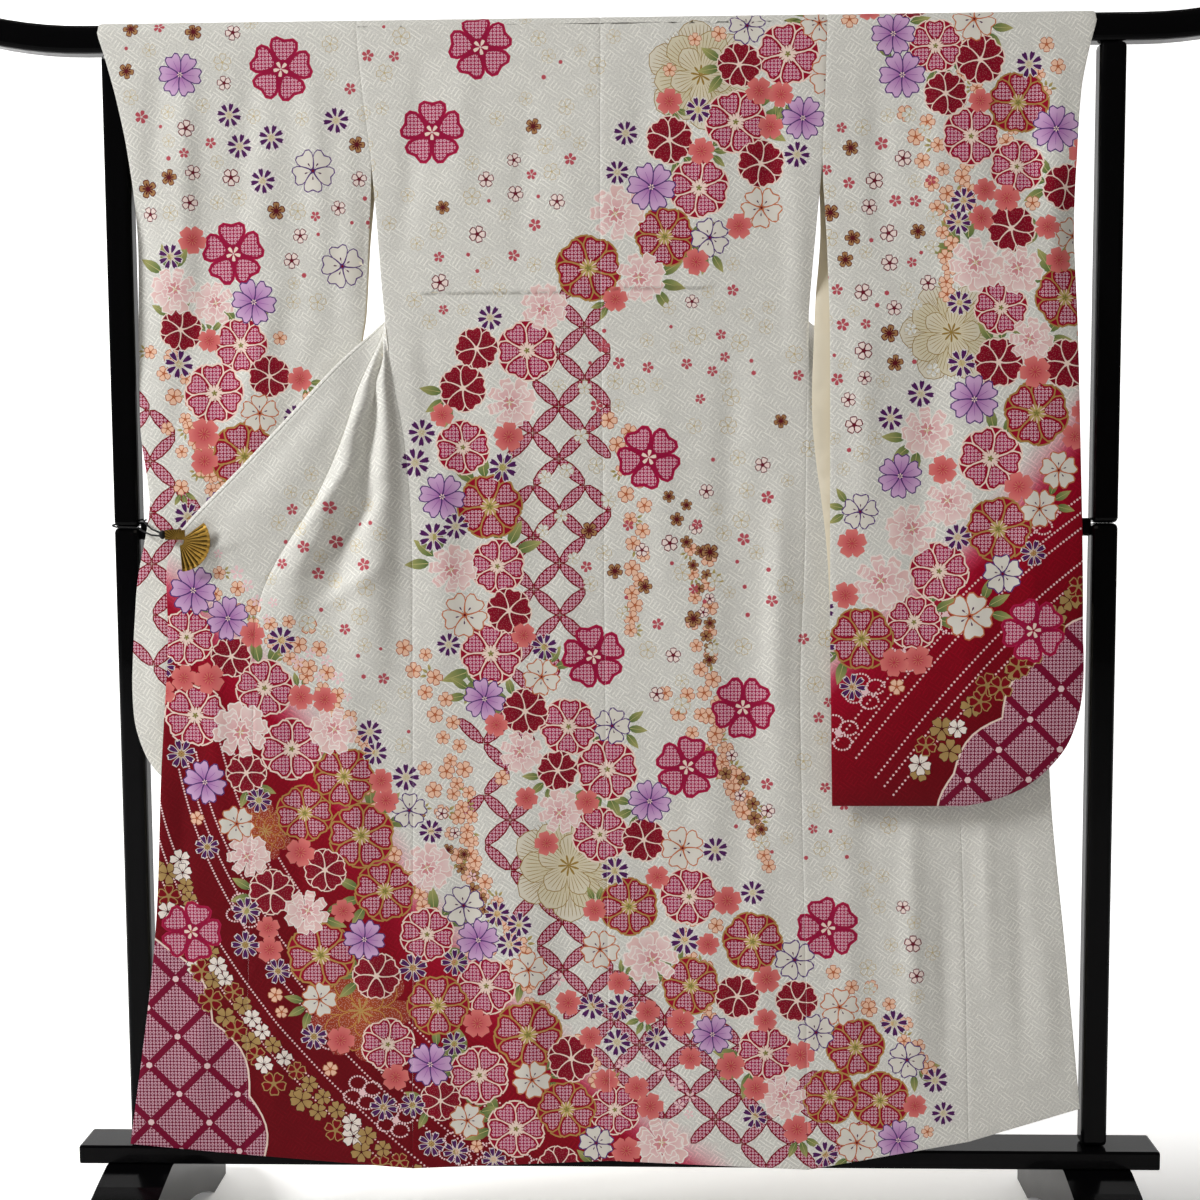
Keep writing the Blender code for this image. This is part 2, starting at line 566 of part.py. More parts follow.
def build_body_half(side_name, table, back_folds, spread_folds, facing, neck):
    """One half of the body: back, front and overlap panel. Returns this side's part of the collar."""
    back, neck_column = back_cloth(table, back_folds, facing, neck)
    spread = spread_cloth(table, spread_folds + UPPER_FRONT_FOLDS, facing)
    spread_normals = grid_normals(spread, facing)
    last = FRONT_COLUMNS + OVERLAP_COLUMNS
    crown = 1 + WRAP_ROWS
    first_sewn = sum(row.steps for row in table[:SLIT_FIRST_ROW])
    first_overlap = WRAP_ROWS + sum(row.steps for row in table[:OVERLAP_FIRST_ROW])
    for line in spread_normals[:first_overlap]:
        shared = (line[FRONT_COLUMNS] + line[last]).normalized()
        line[FRONT_COLUMNS] = line[last] = shared
    back_rows, front_rows, overlap_rows = [], [], []
    hanging_start = len(back) - (len(spread) - WRAP_ROWS)
    trims = []
    for k in range(len(spread) - WRAP_ROWS):
        one, other = back[hanging_start + k], spread[WRAP_ROWS + k]
        sewn_here = k >= first_sewn
        turn_trim = seam_trim(one[-1] - one[-2], other[1] - other[0])
        trims.append(turn_trim if sewn_here else SEAM_GAP / 2)
    for j, row in enumerate(back):
        trim = trims[j - hanging_start] if j >= hanging_start else SEAM_GAP / 2
        back_rows.append(trimmed(row, SEAM_GAP / 2, trim))
    for i in range(neck_column, BACK_COLUMNS + 1):
        back_rows[crown][i].y -= SEAM_GAP / 2
    for j, row in enumerate(spread):
        trim = trims[j - WRAP_ROWS] if j >= WRAP_ROWS else SEAM_GAP / 2
        seam_space = twist_trim(spread_normals, j, FRONT_COLUMNS)
        edge_space = twist_trim(spread_normals, j, last)
        inner_end = seam_space if j >= first_overlap else SEAM_GAP
        front_rows.append(trimmed(row[:FRONT_COLUMNS + 1], trim, inner_end))
        overlap_rows.append(trimmed(row[FRONT_COLUMNS:last + 1], seam_space, edge_space))
    cloth_wall("back_" + side_name, back_rows, keep=lambda j, i: j >= crown or i < neck_column)
    front_normals = [line[:FRONT_COLUMNS + 1] for line in spread_normals]
    shoulder, wing = parted(front_rows, first_overlap)
    cloth_wall("front_shoulder_" + side_name, shoulder, normals=front_normals[:first_overlap + 1])
    cloth_wall("front_" + side_name, wing, normals=front_normals[first_overlap:])
    cloth_wall("overlap_" + side_name, overlap_rows[first_overlap:],
               normals=[line[FRONT_COLUMNS:last + 1] for line in spread_normals[first_overlap:]])
    places = row_places(table)
    collar_rows, collar_normals = [], []
    for k, place in enumerate(places):
        if COLLAR_FIRST_PLACE <= place <= COLLAR_LAST_PLACE:
            space = twist_trim(spread_normals, WRAP_ROWS + k, last)
            collar_rows.append(trimmed(spread[WRAP_ROWS + k][last:], space, 0.0))
            collar_normals.append(spread_normals[WRAP_ROWS + k][last:])
    return collar_rows, collar_normals


def build_collar(left, right):
    """The collar: up the left front edge, behind the neck and down the right one."""
    neck_numbers = smooth_rows([flat_numbers(row, ("seam", "free")) for row in NECK],
                               [row.steps for row in NECK])
    neck = [between(*points_of(line), COLLAR_COLUMNS) for line in neck_numbers]
    grid = list(reversed(left[0])) + neck + right[0]
    normals = grid_normals(grid, -1)
    normals[:len(left[0])] = list(reversed(left[1]))
    normals[len(grid) - len(right[0]):] = right[1]
    cloth_wall("collar", grid, thickness=COLLAR_WALL, normals=normals)


def edge_at(lines, field, z):
    """Where one of the body's side edges is at a height."""
    for above, below in zip(lines, lines[1:]):
        high, low = above[field], below[field]
        if high.z >= z >= low.z:
            share = (high.z - z) / max(high.z - low.z, 1e-6)
            return high.lerp(low, share)
    return lines[0][field]


def sleeve_layer(rows, folds, near, body):
    """One layer of a sleeve, from the bar down, as a grid from inner to outer edge."""
    grid = []
    side = -1 if near else 1
    for z, near_in, far_in, outer, middle, hollow, sewn_part in rows:
        sewn_part = min(max(sewn_part, 0.0), 1.0)
        inner = near_in if near else far_in
        seam = edge_at(body, 0 if near else 1, z)
        tie = min(max((z - ARMHOLE_END) / 0.05 + 1.0, 0.0), 1.0)
        if z >= ARMHOLE_END - 0.001:
            inner = seam.x
        line = []
        for i in range(SLEEVE_COLUMNS + 1):
            across = i / SLEEVE_COLUMNS
            closing = SLEEVE_CLOSED + max(hollow - SLEEVE_CLOSED, 0.0) * math.sqrt(1.0 - across ** 4)
            gap = hollow + (closing - hollow) * sewn_part
            y = middle + side * gap - end_fade(across) * fold_height(folds, across, z)
            y += (seam.y - (middle + side * hollow)) * tie * max(1 - across / 0.3, 0.0) ** 2
            line.append(Vector((inner + (outer - inner) * across, y, z)))
        grid.append(line)
    return grid


def build_sleeve(name, table, folds, body_table):
    """A sleeve: near and far layer, which meet over the bar, at the outer edge and at the bottom."""
    numbers = smooth_rows([list(row[1:]) for row in table], [row.steps for row in table])
    body = body_lines(body_table)
    near = sleeve_layer(numbers, folds, True, body)
    far = sleeve_layer(numbers, folds, False, body)
    over = []
    for k in range(1, 2 * WRAP_ROWS):
        over.append([over_bar(math.pi * k / (2 * WRAP_ROWS), p.x) for p in near[0]])
    strip = [trimmed(row, SEAM_GAP / 2, 0.0) for row in list(reversed(near)) + over + far]
    crown = len(near) + WRAP_ROWS - 1
    normals = grid_normals(strip)
    near_part, far_part = parted(strip, crown)
    cloth_wall(name + "_near", near_part, normals=normals[:crown + 1])
    cloth_wall(name + "_far", far_part, normals=normals[crown:])


def box_mesh(size, centre, bevel=0.0, segments=2):
    bm = bmesh.new()
    bmesh.ops.create_cube(bm, size=1.0)
    bmesh.ops.scale(bm, vec=Vector(size), verts=bm.verts)
    if bevel:
        bmesh.ops.bevel(bm, geom=bm.edges[:], offset=bevel, segments=segments, affect="EDGES", profile=0.5)
    bmesh.ops.translate(bm, vec=Vector(centre), verts=bm.verts)
    return bm


def bar_profile():
    """The bar's cross section: a round top, straight sides and soft lower corners."""
    corner = 0.006
    points = []
    for k in range(9):
        angle = math.pi * k / 8
        points.append((BAR_RADIUS * math.cos(angle), -BAR_RADIUS + BAR_RADIUS * math.sin(angle)))
    for centre_y, start in ((-BAR_RADIUS + corner, math.pi), (BAR_RADIUS - corner, 1.5 * math.pi)):
        for k in range(4):
            angle = start + math.pi / 2 * k / 3
            points.append((centre_y + corner * math.cos(angle),
                           -BAR_HEIGHT + corner + corner * math.sin(angle)))
    return points


def build_bar():
    """The top bar, swept up at both ends."""
    profile = bar_profile()
    stations = []
    for k in range(7):
        stations.append(-BAR_HALF_LENGTH + (BAR_HALF_LENGTH - BAR_STRAIGHT) * k / 6)
    stations = stations + [-x for x in reversed(stations)]
    bm = bmesh.new()
    rings = []
    for x in stations:
        reach = max(abs(x) - BAR_STRAIGHT, 0.0)
        rise = BAR_SWEEP * reach ** 2
        rings.append([bm.verts.new((x, y, BAR_TOP + z + rise)) for y, z in profile])
    for near, far in zip(rings, rings[1:]):
        for i in range(len(profile)):
            k = (i + 1) % len(profile)
            bm.faces.new([near[i], near[k], far[k], far[i]])
    bm.faces.new(rings[0])
    bm.faces.new(list(reversed(rings[-1])))
    place_mesh("stand_bar", bm, LACQUER, 35.0)


def build_upright(side_name, side):
    x = side * UPRIGHT_X
    bar_under = BAR_TOP - BAR_HEIGHT
    beam_top = BEAM_TOP
    upper = (UPRIGHT_WIDTH, UPRIGHT_DEPTH, bar_under - UPRIGHT_JOINT - 2 * SEAM_GAP)
    lower = (UPRIGHT_WIDTH, UPRIGHT_DEPTH, UPRIGHT_JOINT - beam_top - SEAM_GAP)
    upper_mesh = box_mesh(upper, (x, 0.0, (bar_under + UPRIGHT_JOINT) / 2), 0.007, 3)
    lower_mesh = box_mesh(lower, (x, 0.0, (UPRIGHT_JOINT + beam_top + SEAM_GAP) / 2), 0.007, 3)
    place_mesh("stand_upright_upper_" + side_name, upper_mesh, LACQUER, 50.0)
    place_mesh("stand_upright_lower_" + side_name, lower_mesh, LACQUER, 50.0)


def foot_height(y):
    """Top of the foot at a distance y from the beam's middle: an arched shoulder and a low toe."""
    share = min(abs(y) / FOOT_HALF_LENGTH, 1.0)
    return FOOT_TOE + (BEAM_TOP - BEAM_HEIGHT - SEAM_GAP - FOOT_TOE) * (1 - share ** 1.8)


def foot_under(y):
    """Underside of the foot: flat pads at the toes and an arch between them."""
    half = FOOT_HALF_LENGTH - FOOT_PAD
    if abs(y) >= half:
        return 0.0
    return FOOT_ARCH * math.cos(math.pi / 2 * y / half) ** 0.9


def build_foot(side_name, side):
    x = side * UPRIGHT_X
    inner = FOOT_HALF_LENGTH - FOOT_PAD
    ys = [-FOOT_HALF_LENGTH, -0.215, -inner, -0.155, -0.120, -0.080, -BEAM_DEPTH / 2 - 0.004]
    ys = ys + [-y for y in reversed(ys)]
    top = [(y, foot_height(y)) for y in ys]
    seat = BEAM_TOP - BEAM_HEIGHT - SEAM_GAP
    top = [(y, seat if abs(y) < BEAM_DEPTH / 2 + 0.005 else z) for y, z in top]
    under = [(y, foot_under(y)) for y in reversed(ys)]
    outline = top + under
    bm = bmesh.new()
    left = [bm.verts.new((x - FOOT_WIDTH / 2, y, z)) for y, z in outline]
    right = [bm.verts.new((x + FOOT_WIDTH / 2, y, z)) for y, z in outline]
    count = len(outline)
    for i in range(count):
        k = (i + 1) % count
        bm.faces.new([left[i], left[k], right[k], right[i]])
    half = len(ys)
    for i in range(half - 1):
        low = count - 1 - i
        bm.faces.new([left[i], left[i + 1], left[low - 1], left[low]])
        bm.faces.new([right[i], right[i + 1], right[low - 1], right[low]])
    place_mesh("stand_foot_" + side_name, bm, LACQUER, 35.0)


def build_stand():
    build_bar()
    for side_name, side in (("left", -1), ("right", 1)):
        build_upright(side_name, side)
        build_foot(side_name, side)
    length = 2 * (UPRIGHT_X - UPRIGHT_WIDTH / 2 - SEAM_GAP)
    rail = box_mesh((length, RAIL_DEPTH, RAIL_HEIGHT), (0.0, 0.0, RAIL_TOP - RAIL_HEIGHT / 2), 0.003, 2)
    place_mesh("stand_rail", rail, LACQUER, 50.0)
    beam = box_mesh((2 * BEAM_HALF_LENGTH, BEAM_DEPTH, BEAM_HEIGHT),
                    (0.0, 0.0, BEAM_TOP - BEAM_HEIGHT / 2), 0.003, 2)
    place_mesh("stand_base_beam", beam, LACQUER, 50.0)


def build_fan():
    """The clip's pleated metal fan."""
    columns = 2 * FAN_RIBS
    pivot = Vector(FAN_PIVOT)
    radii = (FAN_INNER, FAN_INNER + 0.010, FAN_OUTER - 0.010, FAN_OUTER)
    grid = []
    for radius in radii:
        row = []
        for i in range(columns + 1):
            angle = math.radians(FAN_FROM + (FAN_TO - FAN_FROM) * i / columns)
            fade = (radius - FAN_INNER) / (FAN_OUTER - FAN_INNER)
            pleat = FAN_PLEAT * (1 if i % 2 else -1) * fade
            row.append(pivot + Vector((radius * math.cos(angle), pleat, radius * math.sin(angle))))
        grid.append(row)
    cloth_wall("clip_fan", grid, BRASS, thickness=FAN_WALL)


def build_jaw():
    """The clip's bent strip, open towards the cloth."""
    half = JAW_WALL / 2
    front, back = JAW_FRONT_Y, JAW_BACK_Y
    reach = JAW_X + JAW_REACH
    outline = [(reach, front - half), (JAW_X, front - half), (JAW_X - half, front),
               (JAW_X - half, back), (JAW_X, back + half), (reach, back + half),
               (reach, back - half), (JAW_X + half, back - half),
               (JAW_X + half, front + half), (reach, front + half)]
    low = KNOT[2] - JAW_HEIGHT / 2
    bm = bmesh.new()
    under = [bm.verts.new((x, y, low)) for x, y in outline]
    above = [bm.verts.new((x, y, low + JAW_HEIGHT)) for x, y in outline]
    for i in range(len(outline)):
        k = (i + 1) % len(outline)
        bm.faces.new([under[i], under[k], above[k], above[i]])
    for ring in (under, above):
        bm.faces.new(ring)
    place_mesh("clip_jaw", bm, BRASS, 30.0)


def build_knot():
    bm = bmesh.new()
    bmesh.ops.create_uvsphere(bm, u_segments=12, v_segments=8, radius=KNOT_RADIUS)
    bmesh.ops.scale(bm, vec=Vector((0.9, 0.8, 1.15)), verts=bm.verts)
    bmesh.ops.translate(bm, vec=Vector(KNOT), verts=bm.verts)
    place_mesh("tie_knot", bm, CORD_BLACK, 60.0)


def build_cord():
    side_x = UPRIGHT_WIDTH / 2 + CORD_RADIUS + 2 * CLOTH_CLEAR
    side_y = UPRIGHT_DEPTH / 2 + CORD_RADIUS + 2 * CLOTH_CLEAR
    corner = 0.007
    flat = []
    for x_side, y_side, start in ((1, -1, 0), (-1, -1, -90), (-1, 1, -180), (1, 1, -270)):
        for k in range(4):
            angle = math.radians(start - 30 * k)
            flat.append((-UPRIGHT_X + x_side * (side_x - corner) + corner * math.cos(angle),
                         y_side * (side_y - corner) + corner * math.sin(angle)))
    knot = Vector(KNOT)
    path = [knot + Vector((-0.0039, 0.0031, -0.0018)), Vector((-0.6160, -0.0470, 1.0100)),
            Vector((-0.6270, -0.0330, 1.0125)), Vector((-0.6360, -0.0225, 1.0150))]
    rise = (1.0175, 1.0290)
    for i, (x, y) in enumerate(flat[1:]):
        share = i / (len(flat) - 2)
        path.append(Vector((x, y, rise[0] + (rise[1] - rise[0]) * share)))
    path += [Vector((-0.6330, -0.0225, 1.0275)), Vector((-0.6250, -0.0340, 1.0225)),
             Vector((-0.6155, -0.0480, 1.0180)), knot + Vector((-0.0039, 0.0031, 0.0024))]
    curve = bpy.data.curves.new("tie_cord", "CURVE")
    curve.dimensions = "3D"
    curve.bevel_depth = CORD_RADIUS
    curve.bevel_resolution = 2
    curve.use_fill_caps = True
    spline = curve.splines.new("POLY")
    spline.points.add(len(path) - 1)
    for point, place in zip(spline.points, path):
        point.co = (*place, 1.0)
    curve.materials.append(material("tie_cord_finish", CORD_BLACK))
    made = bpy.data.objects.new("tie_cord", curve)
    bpy.context.scene.collection.objects.link(made)


def build_tie():
    build_fan()
    build_jaw()
    build_knot()
    build_cord()


def build_garment():
    left = build_body_half("left", BODY_LEFT, BACK_LEFT_FOLDS, LEFT_SPREAD_FOLDS, 1, NECK_LEFT)
    right = build_body_half("right", BODY_RIGHT, BACK_RIGHT_FOLDS, RIGHT_SPREAD_FOLDS, -1, NECK_RIGHT)
    build_collar(left, right)
    build_sleeve("sleeve_left", SLEEVE_LEFT, SLEEVE_LEFT_FOLDS, BODY_LEFT)
    build_sleeve("sleeve_right", SLEEVE_RIGHT, SLEEVE_RIGHT_FOLDS, BODY_RIGHT)


def main():
    clear_scene()
    build_stand()
    build_garment()
    build_tie()


main()
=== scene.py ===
"""Looks of a furisode kimono on its lacquered stand: the cloth and its dyeing, the stand and a studio.

Metres, +Z up. +X is the viewer's right, and the viewer looks along +Y at the garment's back.
Left and right are the viewer's. Cloth is also measured flat, as on the maker's board: s across and
t up, which are x and z wherever the cloth hangs in the viewer's sight.
"""

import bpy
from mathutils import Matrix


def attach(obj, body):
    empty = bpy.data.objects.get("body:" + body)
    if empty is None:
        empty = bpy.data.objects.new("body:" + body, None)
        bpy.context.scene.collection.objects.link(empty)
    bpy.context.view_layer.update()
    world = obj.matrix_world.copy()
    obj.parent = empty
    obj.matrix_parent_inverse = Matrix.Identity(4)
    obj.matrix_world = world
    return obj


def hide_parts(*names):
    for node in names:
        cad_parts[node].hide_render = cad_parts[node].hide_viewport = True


bl_info = {
    "name": "Furisode on its stand",
    "version": (1, 0, 0),
    "blender": (4, 5, 0),
    "location": "3D View > Sidebar > Furisode",
    "description": "Dresses a hung kimono's solids in dyed silk, finishes its stand and sets up a studio",
    "category": "Object",
}

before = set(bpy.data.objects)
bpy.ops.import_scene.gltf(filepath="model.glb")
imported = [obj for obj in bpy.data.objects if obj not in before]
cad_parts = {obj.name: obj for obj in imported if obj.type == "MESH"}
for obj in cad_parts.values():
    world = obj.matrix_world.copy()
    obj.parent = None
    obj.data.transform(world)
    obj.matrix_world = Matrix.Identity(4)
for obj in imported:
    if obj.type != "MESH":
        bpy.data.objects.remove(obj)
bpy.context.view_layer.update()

import math
from collections import namedtuple
from functools import partial

import bpy
import numpy as np
from mathutils import Matrix, Vector
from mathutils.bvhtree import BVHTree
from mathutils.geometry import delaunay_2d_cdt

# Sizes that the cloth shares with its solids
WALL = 0.0016
SEAM_GAP = 0.0003
CLOTH_CLEAR = 0.0004
BAR_RADIUS = 0.017
BAR_AXIS = 1.689 - BAR_RADIUS
WRAP = BAR_RADIUS + CLOTH_CLEAR + WALL / 2
SLEEVE_CLOSED = WALL / 2 + SEAM_GAP / 2
NECK_LEFT = -0.097
NECK_RIGHT = 0.082
NECK_DROP = 0.017
ARMHOLE_END = 1.503
COLLAR_ROLL = 0.0045
COLLAR_FIRST_PLACE = 1.0
COLLAR_LAST_PLACE = 10.0
OVERLAP_FIRST_ROW = 3
BACK_COLUMNS = 9
FRONT_COLUMNS = 9
OVERLAP_COLUMNS = 5
SLEEVE_COLUMNS = 9
COLLAR_COLUMNS = 7
WRAP_ROWS = 4

# How much finer the shells are than those rows and columns
DOWN = 5
ACROSS = 3
SEAM_CLOSE = 0.00005     # sewn edges are drawn back by this, so that they only just clear each other
EDGE_ROUND = 0.0030      # a sewn or folded edge rounds off over this distance
EDGE_WALL = 0.0003       # thickness that is left at such an edge
EDGE_SHARE = 0.3         # place of the extra rows and columns inside the edges, as a share of a cell
MM = 1000.0              # millimetres in a metre

# The centre seam, at each height of the back's side edge
Centre = namedtuple("Centre", "side_z x y z")
CENTRE = (
    Centre(BAR_AXIS, -0.0120, -WRAP, BAR_AXIS),
    Centre(1.600, -0.0120, -0.0220, 1.600),
    Centre(1.500, -0.0125, -0.0270, 1.500),
    Centre(1.400, -0.0125, -0.0320, 1.400),
    Centre(1.290, -0.0120, -0.0360, 1.290),
    Centre(1.150, -0.0110, -0.0400, 1.150),
    Centre(1.000, -0.0100, -0.0430, 1.000),
    Centre(0.800, -0.0090, -0.0440, 0.800),
    Centre(0.500, -0.0080, -0.0430, 0.502),
    Centre(0.137, -0.0060, -0.0420, 0.148),
)

# One row of half a body: the back's side edge, the front's side edge, the seam between front and
# overlap panel, and the front edge.
Body = namedtuple("Body", "steps back side seam edge")


def sewn(steps, side, seam, edge):
    """A row below the open slit, where back and front meet in the side seam."""
    return Body(steps, side, side, seam, edge)


def over_shoulder(steps, side_x, neck_x):
    """The row where the cloth leaves the bar's round top."""
    neck = (neck_x, WRAP, BAR_AXIS)
    return Body(steps, (side_x, -WRAP, BAR_AXIS), (side_x, WRAP, BAR_AXIS), neck, neck)


def upper(steps, back, side, edge):
    """A row above the overlap panel's tip."""
    return Body(steps, back, side, edge, edge)


BODY_LEFT = (
    over_shoulder(1, -0.3345, NECK_LEFT),
    upper(2, (-0.3280, -0.0200, 1.600), (-0.3280, 0.0190, 1.600), (-0.1050, 0.0200, 1.600)),
    upper(2, (-0.3168, -0.0225, 1.503), (-0.3168, 0.0190, 1.503), (-0.1250, 0.0220, 1.515)),
    Body(2, (-0.3100, -0.0275, 1.425), (-0.3100, 0.0090, 1.425),
         (-0.1580, 0.0255, 1.440), (-0.1500, 0.0260, 1.438)),
    Body(2, (-0.3050, -0.0315, 1.355), (-0.3060, -0.010, 1.355),
         (-0.2250, 0.0200, 1.375), (-0.2060, 0.0240, 1.373)),
    sewn(2, (-0.2995, -0.0340, 1.290), (-0.2900, 0.0000, 1.310), (-0.2780, 0.0110, 1.318)),
    sewn(2, (-0.2935, -0.0400, 1.245), (-0.3100, -0.028, 1.262), (-0.3180, -0.020, 1.275)),
    sewn(2, (-0.2860, -0.0440, 1.200), (-0.3370, -0.042, 1.200), (-0.3620, -0.041, 1.231)),
    sewn(2, (-0.2765, -0.0470, 1.150), (-0.3560, -0.050, 1.140), (-0.4180, -0.049, 1.171)),
    sewn(3, (-0.2680, -0.0500, 1.070), (-0.3920, -0.056, 1.060), (-0.4870, -0.054, 1.099)),
    sewn(2, (-0.2655, -0.0500, 0.965), (-0.4520, -0.058, 0.965), (-0.5770, -0.058, 1.005)),
    sewn(2, (-0.2665, -0.0500, 0.895), (-0.4740, -0.058, 0.905), (-0.5945, -0.058, 0.950)),
    sewn(3, (-0.2675, -0.0490, 0.820), (-0.4790, -0.057, 0.840), (-0.5945, -0.057, 0.870)),
    sewn(4, (-0.2695, -0.0480, 0.660), (-0.4860, -0.056, 0.680), (-0.6090, -0.056, 0.690)),
    sewn(4, (-0.2730, -0.0470, 0.430), (-0.4970, -0.052, 0.440), (-0.6260, -0.052, 0.450)),
    sewn(0, (-0.2780, -0.0460, 0.137), (-0.5095, -0.048, 0.156), (-0.6680, -0.048, 0.170)),
)
BODY_RIGHT = (
    over_shoulder(1, 0.2855, NECK_RIGHT),
    upper(2, (0.2835, -0.0200, 1.600), (0.2835, 0.0190, 1.600), (0.0920, 0.0200, 1.600)),
    upper(2, (0.2797, -0.0225, 1.503), (0.2797, 0.0190, 1.503), (0.1140, 0.0220, 1.512)),
    Body(2, (0.2730, -0.0270, 1.425), (0.2730, 0.0100, 1.425),
         (0.1490, 0.0255, 1.435), (0.1410, 0.0260, 1.433)),
    Body(2, (0.2665, -0.0300, 1.355), (0.2665, -0.008, 1.355),
         (0.2080, 0.0180, 1.365), (0.1900, 0.0230, 1.364)),
    sewn(2, (0.2615, -0.0320, 1.290), (0.2560, 0.0000, 1.302), (0.2440, 0.0140, 1.309)),
    sewn(2, (0.2605, -0.0360, 1.230), (0.2920, -0.018, 1.235), (0.3020, -0.010, 1.253)),
    sewn(2, (0.2590, -0.0390, 1.150), (0.3270, -0.029, 1.150), (0.3620, -0.026, 1.181)),
    sewn(2, (0.2580, -0.0410, 1.070), (0.3600, -0.036, 1.065), (0.4200, -0.036, 1.106)),
    sewn(3, (0.2570, -0.0420, 0.975), (0.4050, -0.037, 0.970), (0.4900, -0.037, 1.010)),
    sewn(3, (0.2525, -0.0430, 0.855), (0.4450, -0.037, 0.860), (0.5650, -0.036, 0.905)),
    sewn(3, (0.2520, -0.0430, 0.760), (0.4600, -0.037, 0.775), (0.5800, -0.036, 0.800)),
    sewn(4, (0.2560, -0.0430, 0.590), (0.4680, -0.038, 0.620), (0.5890, -0.036, 0.640)),
    sewn(4, (0.2610, -0.0430, 0.390), (0.4760, -0.039, 0.420), (0.6110, -0.037, 0.440)),
    sewn(0, (0.2650, -0.0420, 0.137), (0.4830, -0.040, 0.177), (0.6335, -0.038, 0.2235)),
)

# One row of a sleeve, from the bar down: inner edge of the near and far layer, outer edge,
# depth of the bag's middle, half of its hollow, and how far its outer edge is sewn shut.
SleeveRow = namedtuple("SleeveRow", "steps z near_in far_in outer middle hollow sewn")
SLEEVE_LEFT = (
    SleeveRow(2, BAR_AXIS, -0.3345, -0.3345, -0.6790, 0.0000, WRAP, 0.0),
    SleeveRow(3, 1.600, -0.3280, -0.3280, -0.6590, 0.0000, 0.0190, 0.0),
    SleeveRow(3, 1.503, -0.3168, -0.3168, -0.6405, -0.0010, 0.0200, 0.0),
    SleeveRow(3, 1.400, -0.3225, -0.3245, -0.6370, -0.0020, 0.0140, 1.0),
    SleeveRow(2, 1.300, -0.3300, -0.3310, -0.6385, -0.0030, 0.0095, 1.0),
    SleeveRow(2, 1.240, -0.3390, -0.3400, -0.6385, -0.0055, 0.0080, 1.0),
    SleeveRow(3, 1.150, -0.3390, -0.3400, -0.6370, -0.0130, 0.0070, 1.0),
    SleeveRow(2, 1.043, -0.3300, -0.3310, -0.6260, -0.0195, 0.0065, 1.0),
    SleeveRow(3, 0.950, -0.3240, -0.3260, -0.6440, -0.0210, 0.0065, 1.0),
    SleeveRow(2, 0.800, -0.3210, -0.3230, -0.6550, -0.0230, 0.0065, 1.0),
    SleeveRow(2, 0.730, -0.3210, -0.3230, -0.6470, -0.0240, 0.0060, 1.0),
    SleeveRow(2, 0.682, -0.3210, -0.3230, -0.6210, -0.0245, 0.0050, 1.0),
    SleeveRow(1, 0.655, -0.3210, -0.3230, -0.5750, -0.0245, 0.0030, 1.0),
    SleeveRow(0, 0.645, -0.3210, -0.3230, -0.5200, -0.0245, SLEEVE_CLOSED, 1.0),
)
SLEEVE_RIGHT = (
    SleeveRow(2, BAR_AXIS, 0.2855, 0.2855, 0.6350, 0.0000, WRAP, 0.0),
    SleeveRow(3, 1.600, 0.2835, 0.2835, 0.6190, 0.0000, 0.0190, 0.0),
    SleeveRow(3, 1.503, 0.2797, 0.2797, 0.6120, -0.0020, 0.0210, 0.0),
    SleeveRow(2, 1.400, 0.2840, 0.2790, 0.6100, -0.0200, 0.0160, 1.0),
    SleeveRow(2, 1.330, 0.2860, 0.2720, 0.6100, -0.0360, 0.0120, 1.0),
    SleeveRow(3, 1.270, 0.2870, 0.2680, 0.6105, -0.0480, 0.0090, 1.0),
    SleeveRow(3, 1.150, 0.2875, 0.2660, 0.6140, -0.0535, 0.0065, 1.0),
    SleeveRow(3, 1.000, 0.2880, 0.2840, 0.6190, -0.0560, 0.0065, 1.0),
    SleeveRow(2, 0.880, 0.2885, 0.2905, 0.6215, -0.0570, 0.0065, 1.0),
    SleeveRow(2, 0.795, 0.2900, 0.2920, 0.6220, -0.0575, 0.0065, 1.0),
    SleeveRow(2, 0.725, 0.2910, 0.2930, 0.6020, -0.0580, 0.0060, 1.0),
    SleeveRow(2, 0.675, 0.2920, 0.2940, 0.5550, -0.0580, 0.0050, 1.0),
    SleeveRow(1, 0.652, 0.2925, 0.2945, 0.5030, -0.0580, 0.0030, 1.0),
    SleeveRow(0, 0.645, 0.2930, 0.2950, 0.4690, -0.0580, SLEEVE_CLOSED, 1.0),
)

# Soft folds of the solids. across is 0 at the inner or side edge and 1 at the outer edge; lean is
# the move across per metre of drop; a negative height is a trough.
Fold = namedtuple("Fold", "across width height top bottom lean")
BACK_LEFT_FOLDS = (
    Fold(0.88, 0.07, 0.0035, 1.30, 0.75, 0.00),
    Fold(0.70, 0.10, -0.0025, 1.35, 0.85, 0.05),
    Fold(0.45, 0.12, 0.0020, 1.15, 0.15, 0.03),
    Fold(0.20, 0.09, -0.0020, 0.80, 0.14, 0.00),
)
BACK_RIGHT_FOLDS = (
    Fold(0.90, 0.06, 0.0040, 1.05, 0.55, 0.00),
    Fold(0.72, 0.09, -0.0030, 1.15, 0.45, -0.04),
    Fold(0.45, 0.12, 0.0025, 1.10, 0.15, 0.04),
    Fold(0.22, 0.08, -0.0020, 0.70, 0.14, 0.00),
)
UPPER_FRONT_FOLDS = (
    Fold(0.25, 0.090, 0.0050, 1.55, 1.28, 0.00),
    Fold(0.50, 0.080, -0.0045, 1.55, 1.28, 0.00),
    Fold(0.75, 0.090, 0.0045, 1.55, 1.28, 0.00),
)
